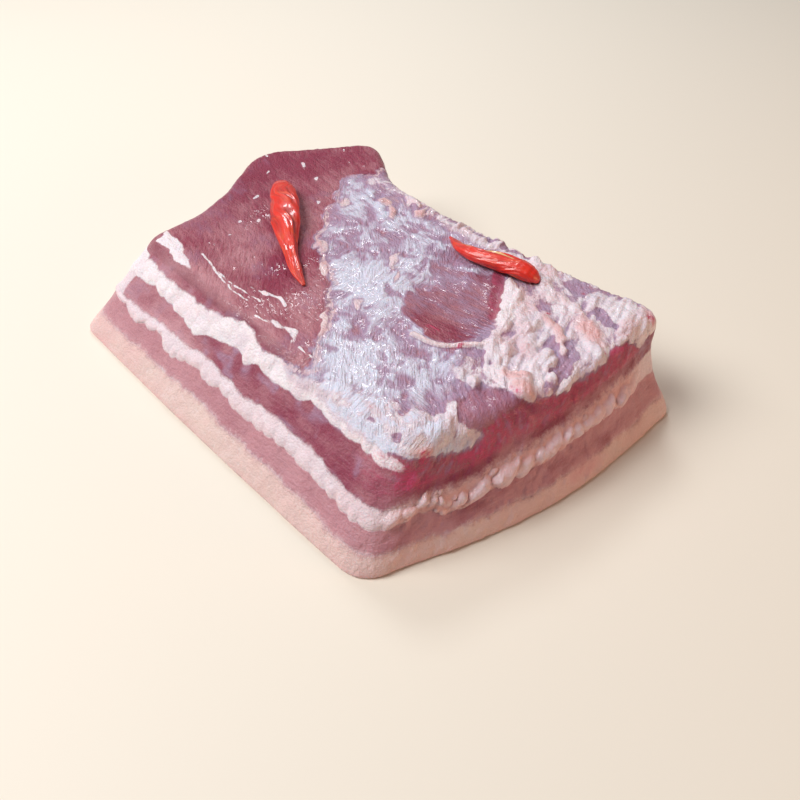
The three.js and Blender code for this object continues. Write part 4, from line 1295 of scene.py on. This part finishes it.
class StageSettings(bpy.types.PropertyGroup):
    """Powers of the lights and the camera's lens"""

    key: amount("Key light", "Power of the large soft light", 19.0, "POWER")
    back: amount("Back light", "Power of the cool light behind the slab", 3.2, "POWER")
    fill: amount("Fill light", "Power of the warm light on the far side", 3.0, "POWER")
    sky: amount("Room light", "Strength of the light from all round", 0.14)
    lens: amount("Lens", "Focal length of the camera", 36.0, "CAMERA")


def finish_piece(piece, node):
    """Lets a piece stand for its solid: hangs it on the root body and hides the solid."""
    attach(piece, "root")
    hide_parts(node)


class PORK_OT_layers(bpy.types.Operator):
    """Build the rind fat, the two leans and the fat between them"""

    bl_idname = "pork.layers"
    bl_label = "Fat and lean layers"

    def execute(self, context):
        looks = context.scene.meat_looks
        for name, (_, slot, wet, fibre, shade) in SOLID_LAYERS.items():
            dull = looks.rind_fat if slot == "rind_fat" else looks.fat_shade
            material = meat_material(slot, looks, wet, fibre, LAYER_STREAKS, dull, shade)
            finish_piece(layer_skin(name).make(name + "_meat", material), name)
        return {"FINISHED"}


class PORK_OT_upper_fat(bpy.types.Operator):
    """Build the upper fat with the milky skin on its top"""

    bl_idname = "pork.upper_fat"
    bl_label = "Upper fat"

    def execute(self, context):
        looks = context.scene.meat_looks
        material = meat_material("membrane_fat", looks, 0.8, 0.9, TOP_STREAKS, looks.fat_shade)
        piece = upper_fat_skin(TopParts()).make("upper_fat_meat", material)
        finish_piece(piece, "upper_fat")
        return {"FINISHED"}


class PORK_OT_top_lean(bpy.types.Operator):
    """Build the muscle that covers one end of the top"""

    bl_idname = "pork.top_lean"
    bl_label = "Top lean"

    def execute(self, context):
        looks = context.scene.meat_looks
        material = meat_material("dark_lean", looks, 0.8, 0.8, TOP_STREAKS, looks.fat_shade)
        piece = top_lean_skin(TopParts()).make("top_lean_meat", material)
        finish_piece(piece, "top_lean")
        return {"FINISHED"}


class PORK_OT_chillies(bpy.types.Operator):
    """Lay the two dried chillies on the slab"""

    bl_idname = "pork.chillies"
    bl_label = "Dried chillies"

    def execute(self, context):
        material = chilli_material("chilli_skin", context.scene.meat_looks)
        for name, shape in CHILLIES.items():
            finish_piece(chilli_piece(name + "_skin", shape, material), name)
        return {"FINISHED"}


class PORK_OT_stage(bpy.types.Operator):
    """Set the floor, the lights and the camera"""

    bl_idname = "pork.stage"
    bl_label = "Stage"

    def execute(self, context):
        scene, settings = context.scene, context.scene.stage_settings
        shader = Shader("stage_floor")
        place = shader.add("ShaderNodeTexCoord", {}, {}, "Object")
        cloud = shader.noise(place, 3.0, 3.0, 0.5)
        base = scene.meat_looks.floor
        tone = shader.mix(cloud * 0.12, base, [0.96 * channel for channel in base])
        material = shader.surface({"Base Color": tone, "Roughness": 0.6})
        mesh = bpy.data.meshes.new("floor")
        mesh.from_pydata(FLOOR_CORNERS, [], [(0, 1, 2, 3)])
        mesh.materials.append(material)
        floor = bpy.data.objects.new("floor", mesh)
        floor.location.z = -FLOOR_DROP
        scene.collection.objects.link(floor)

        for name, (place, size, tint) in LIGHTS.items():
            lamp = bpy.data.lights.new(name, "AREA")
            lamp.shape, lamp.size, lamp.size_y = "RECTANGLE", size[0], size[1]
            lamp.energy, lamp.color = getattr(settings, name), tint
            light = bpy.data.objects.new(name, lamp)
            light.location = place
            heading = Vector(LIGHT_AIM) - Vector(place)
            light.rotation_euler = heading.to_track_quat("-Z", "Y").to_euler()
            scene.collection.objects.link(light)
        world = bpy.data.worlds.new("room")
        world.use_nodes = True
        background = world.node_tree.nodes["Background"].inputs
        background["Color"].default_value = (*ROOM_TINT, 1)
        background["Strength"].default_value = settings.sky
        scene.world = world

        lens = bpy.data.cameras.new("camera")
        lens.lens, lens.sensor_width = settings.lens, 36.0
        camera = bpy.data.objects.new("camera", lens)
        back = Vector(CAMERA_BACK).normalized()
        right = Vector((0, 0, 1)).cross(back).normalized()
        up = back.cross(right)
        turn = Matrix((right, up, back)).transposed().to_4x4()
        camera.matrix_world = Matrix.Translation(CAMERA_PLACE) @ turn
        scene.collection.objects.link(camera)
        scene.camera = camera
        scene.view_settings.view_transform = "Standard"
        return {"FINISHED"}


class PORK_PT_panel(bpy.types.Panel):
    """Buttons and settings of the slab"""

    bl_idname = "PORK_PT_panel"
    bl_label = "Pork Belly"
    bl_space_type = "VIEW_3D"
    bl_region_type = "UI"
    bl_category = "Pork Belly"

    def draw(self, context):
        for step in STEPS:
            self.layout.operator(step.bl_idname, text=step.bl_label)
        for group in (context.scene.meat_looks, context.scene.stage_settings):
            box = self.layout.box()
            for key in group.__annotations__:
                box.prop(group, key)


STEPS = [PORK_OT_layers, PORK_OT_upper_fat, PORK_OT_top_lean, PORK_OT_chillies, PORK_OT_stage]
CLASSES = [MeatLooks, StageSettings, *STEPS, PORK_PT_panel]


def register():
    for item in CLASSES:
        bpy.utils.register_class(item)
    bpy.types.Scene.meat_looks = bpy.props.PointerProperty(type=MeatLooks)
    bpy.types.Scene.stage_settings = bpy.props.PointerProperty(type=StageSettings)


def unregister():
    del bpy.types.Scene.stage_settings
    del bpy.types.Scene.meat_looks
    for item in reversed(CLASSES):
        bpy.utils.unregister_class(item)


def main():
    register()
    for step in STEPS:
        group, name = step.bl_idname.split(".")
        getattr(getattr(bpy.ops, group), name)()


if __name__ == "__main__":
    main()
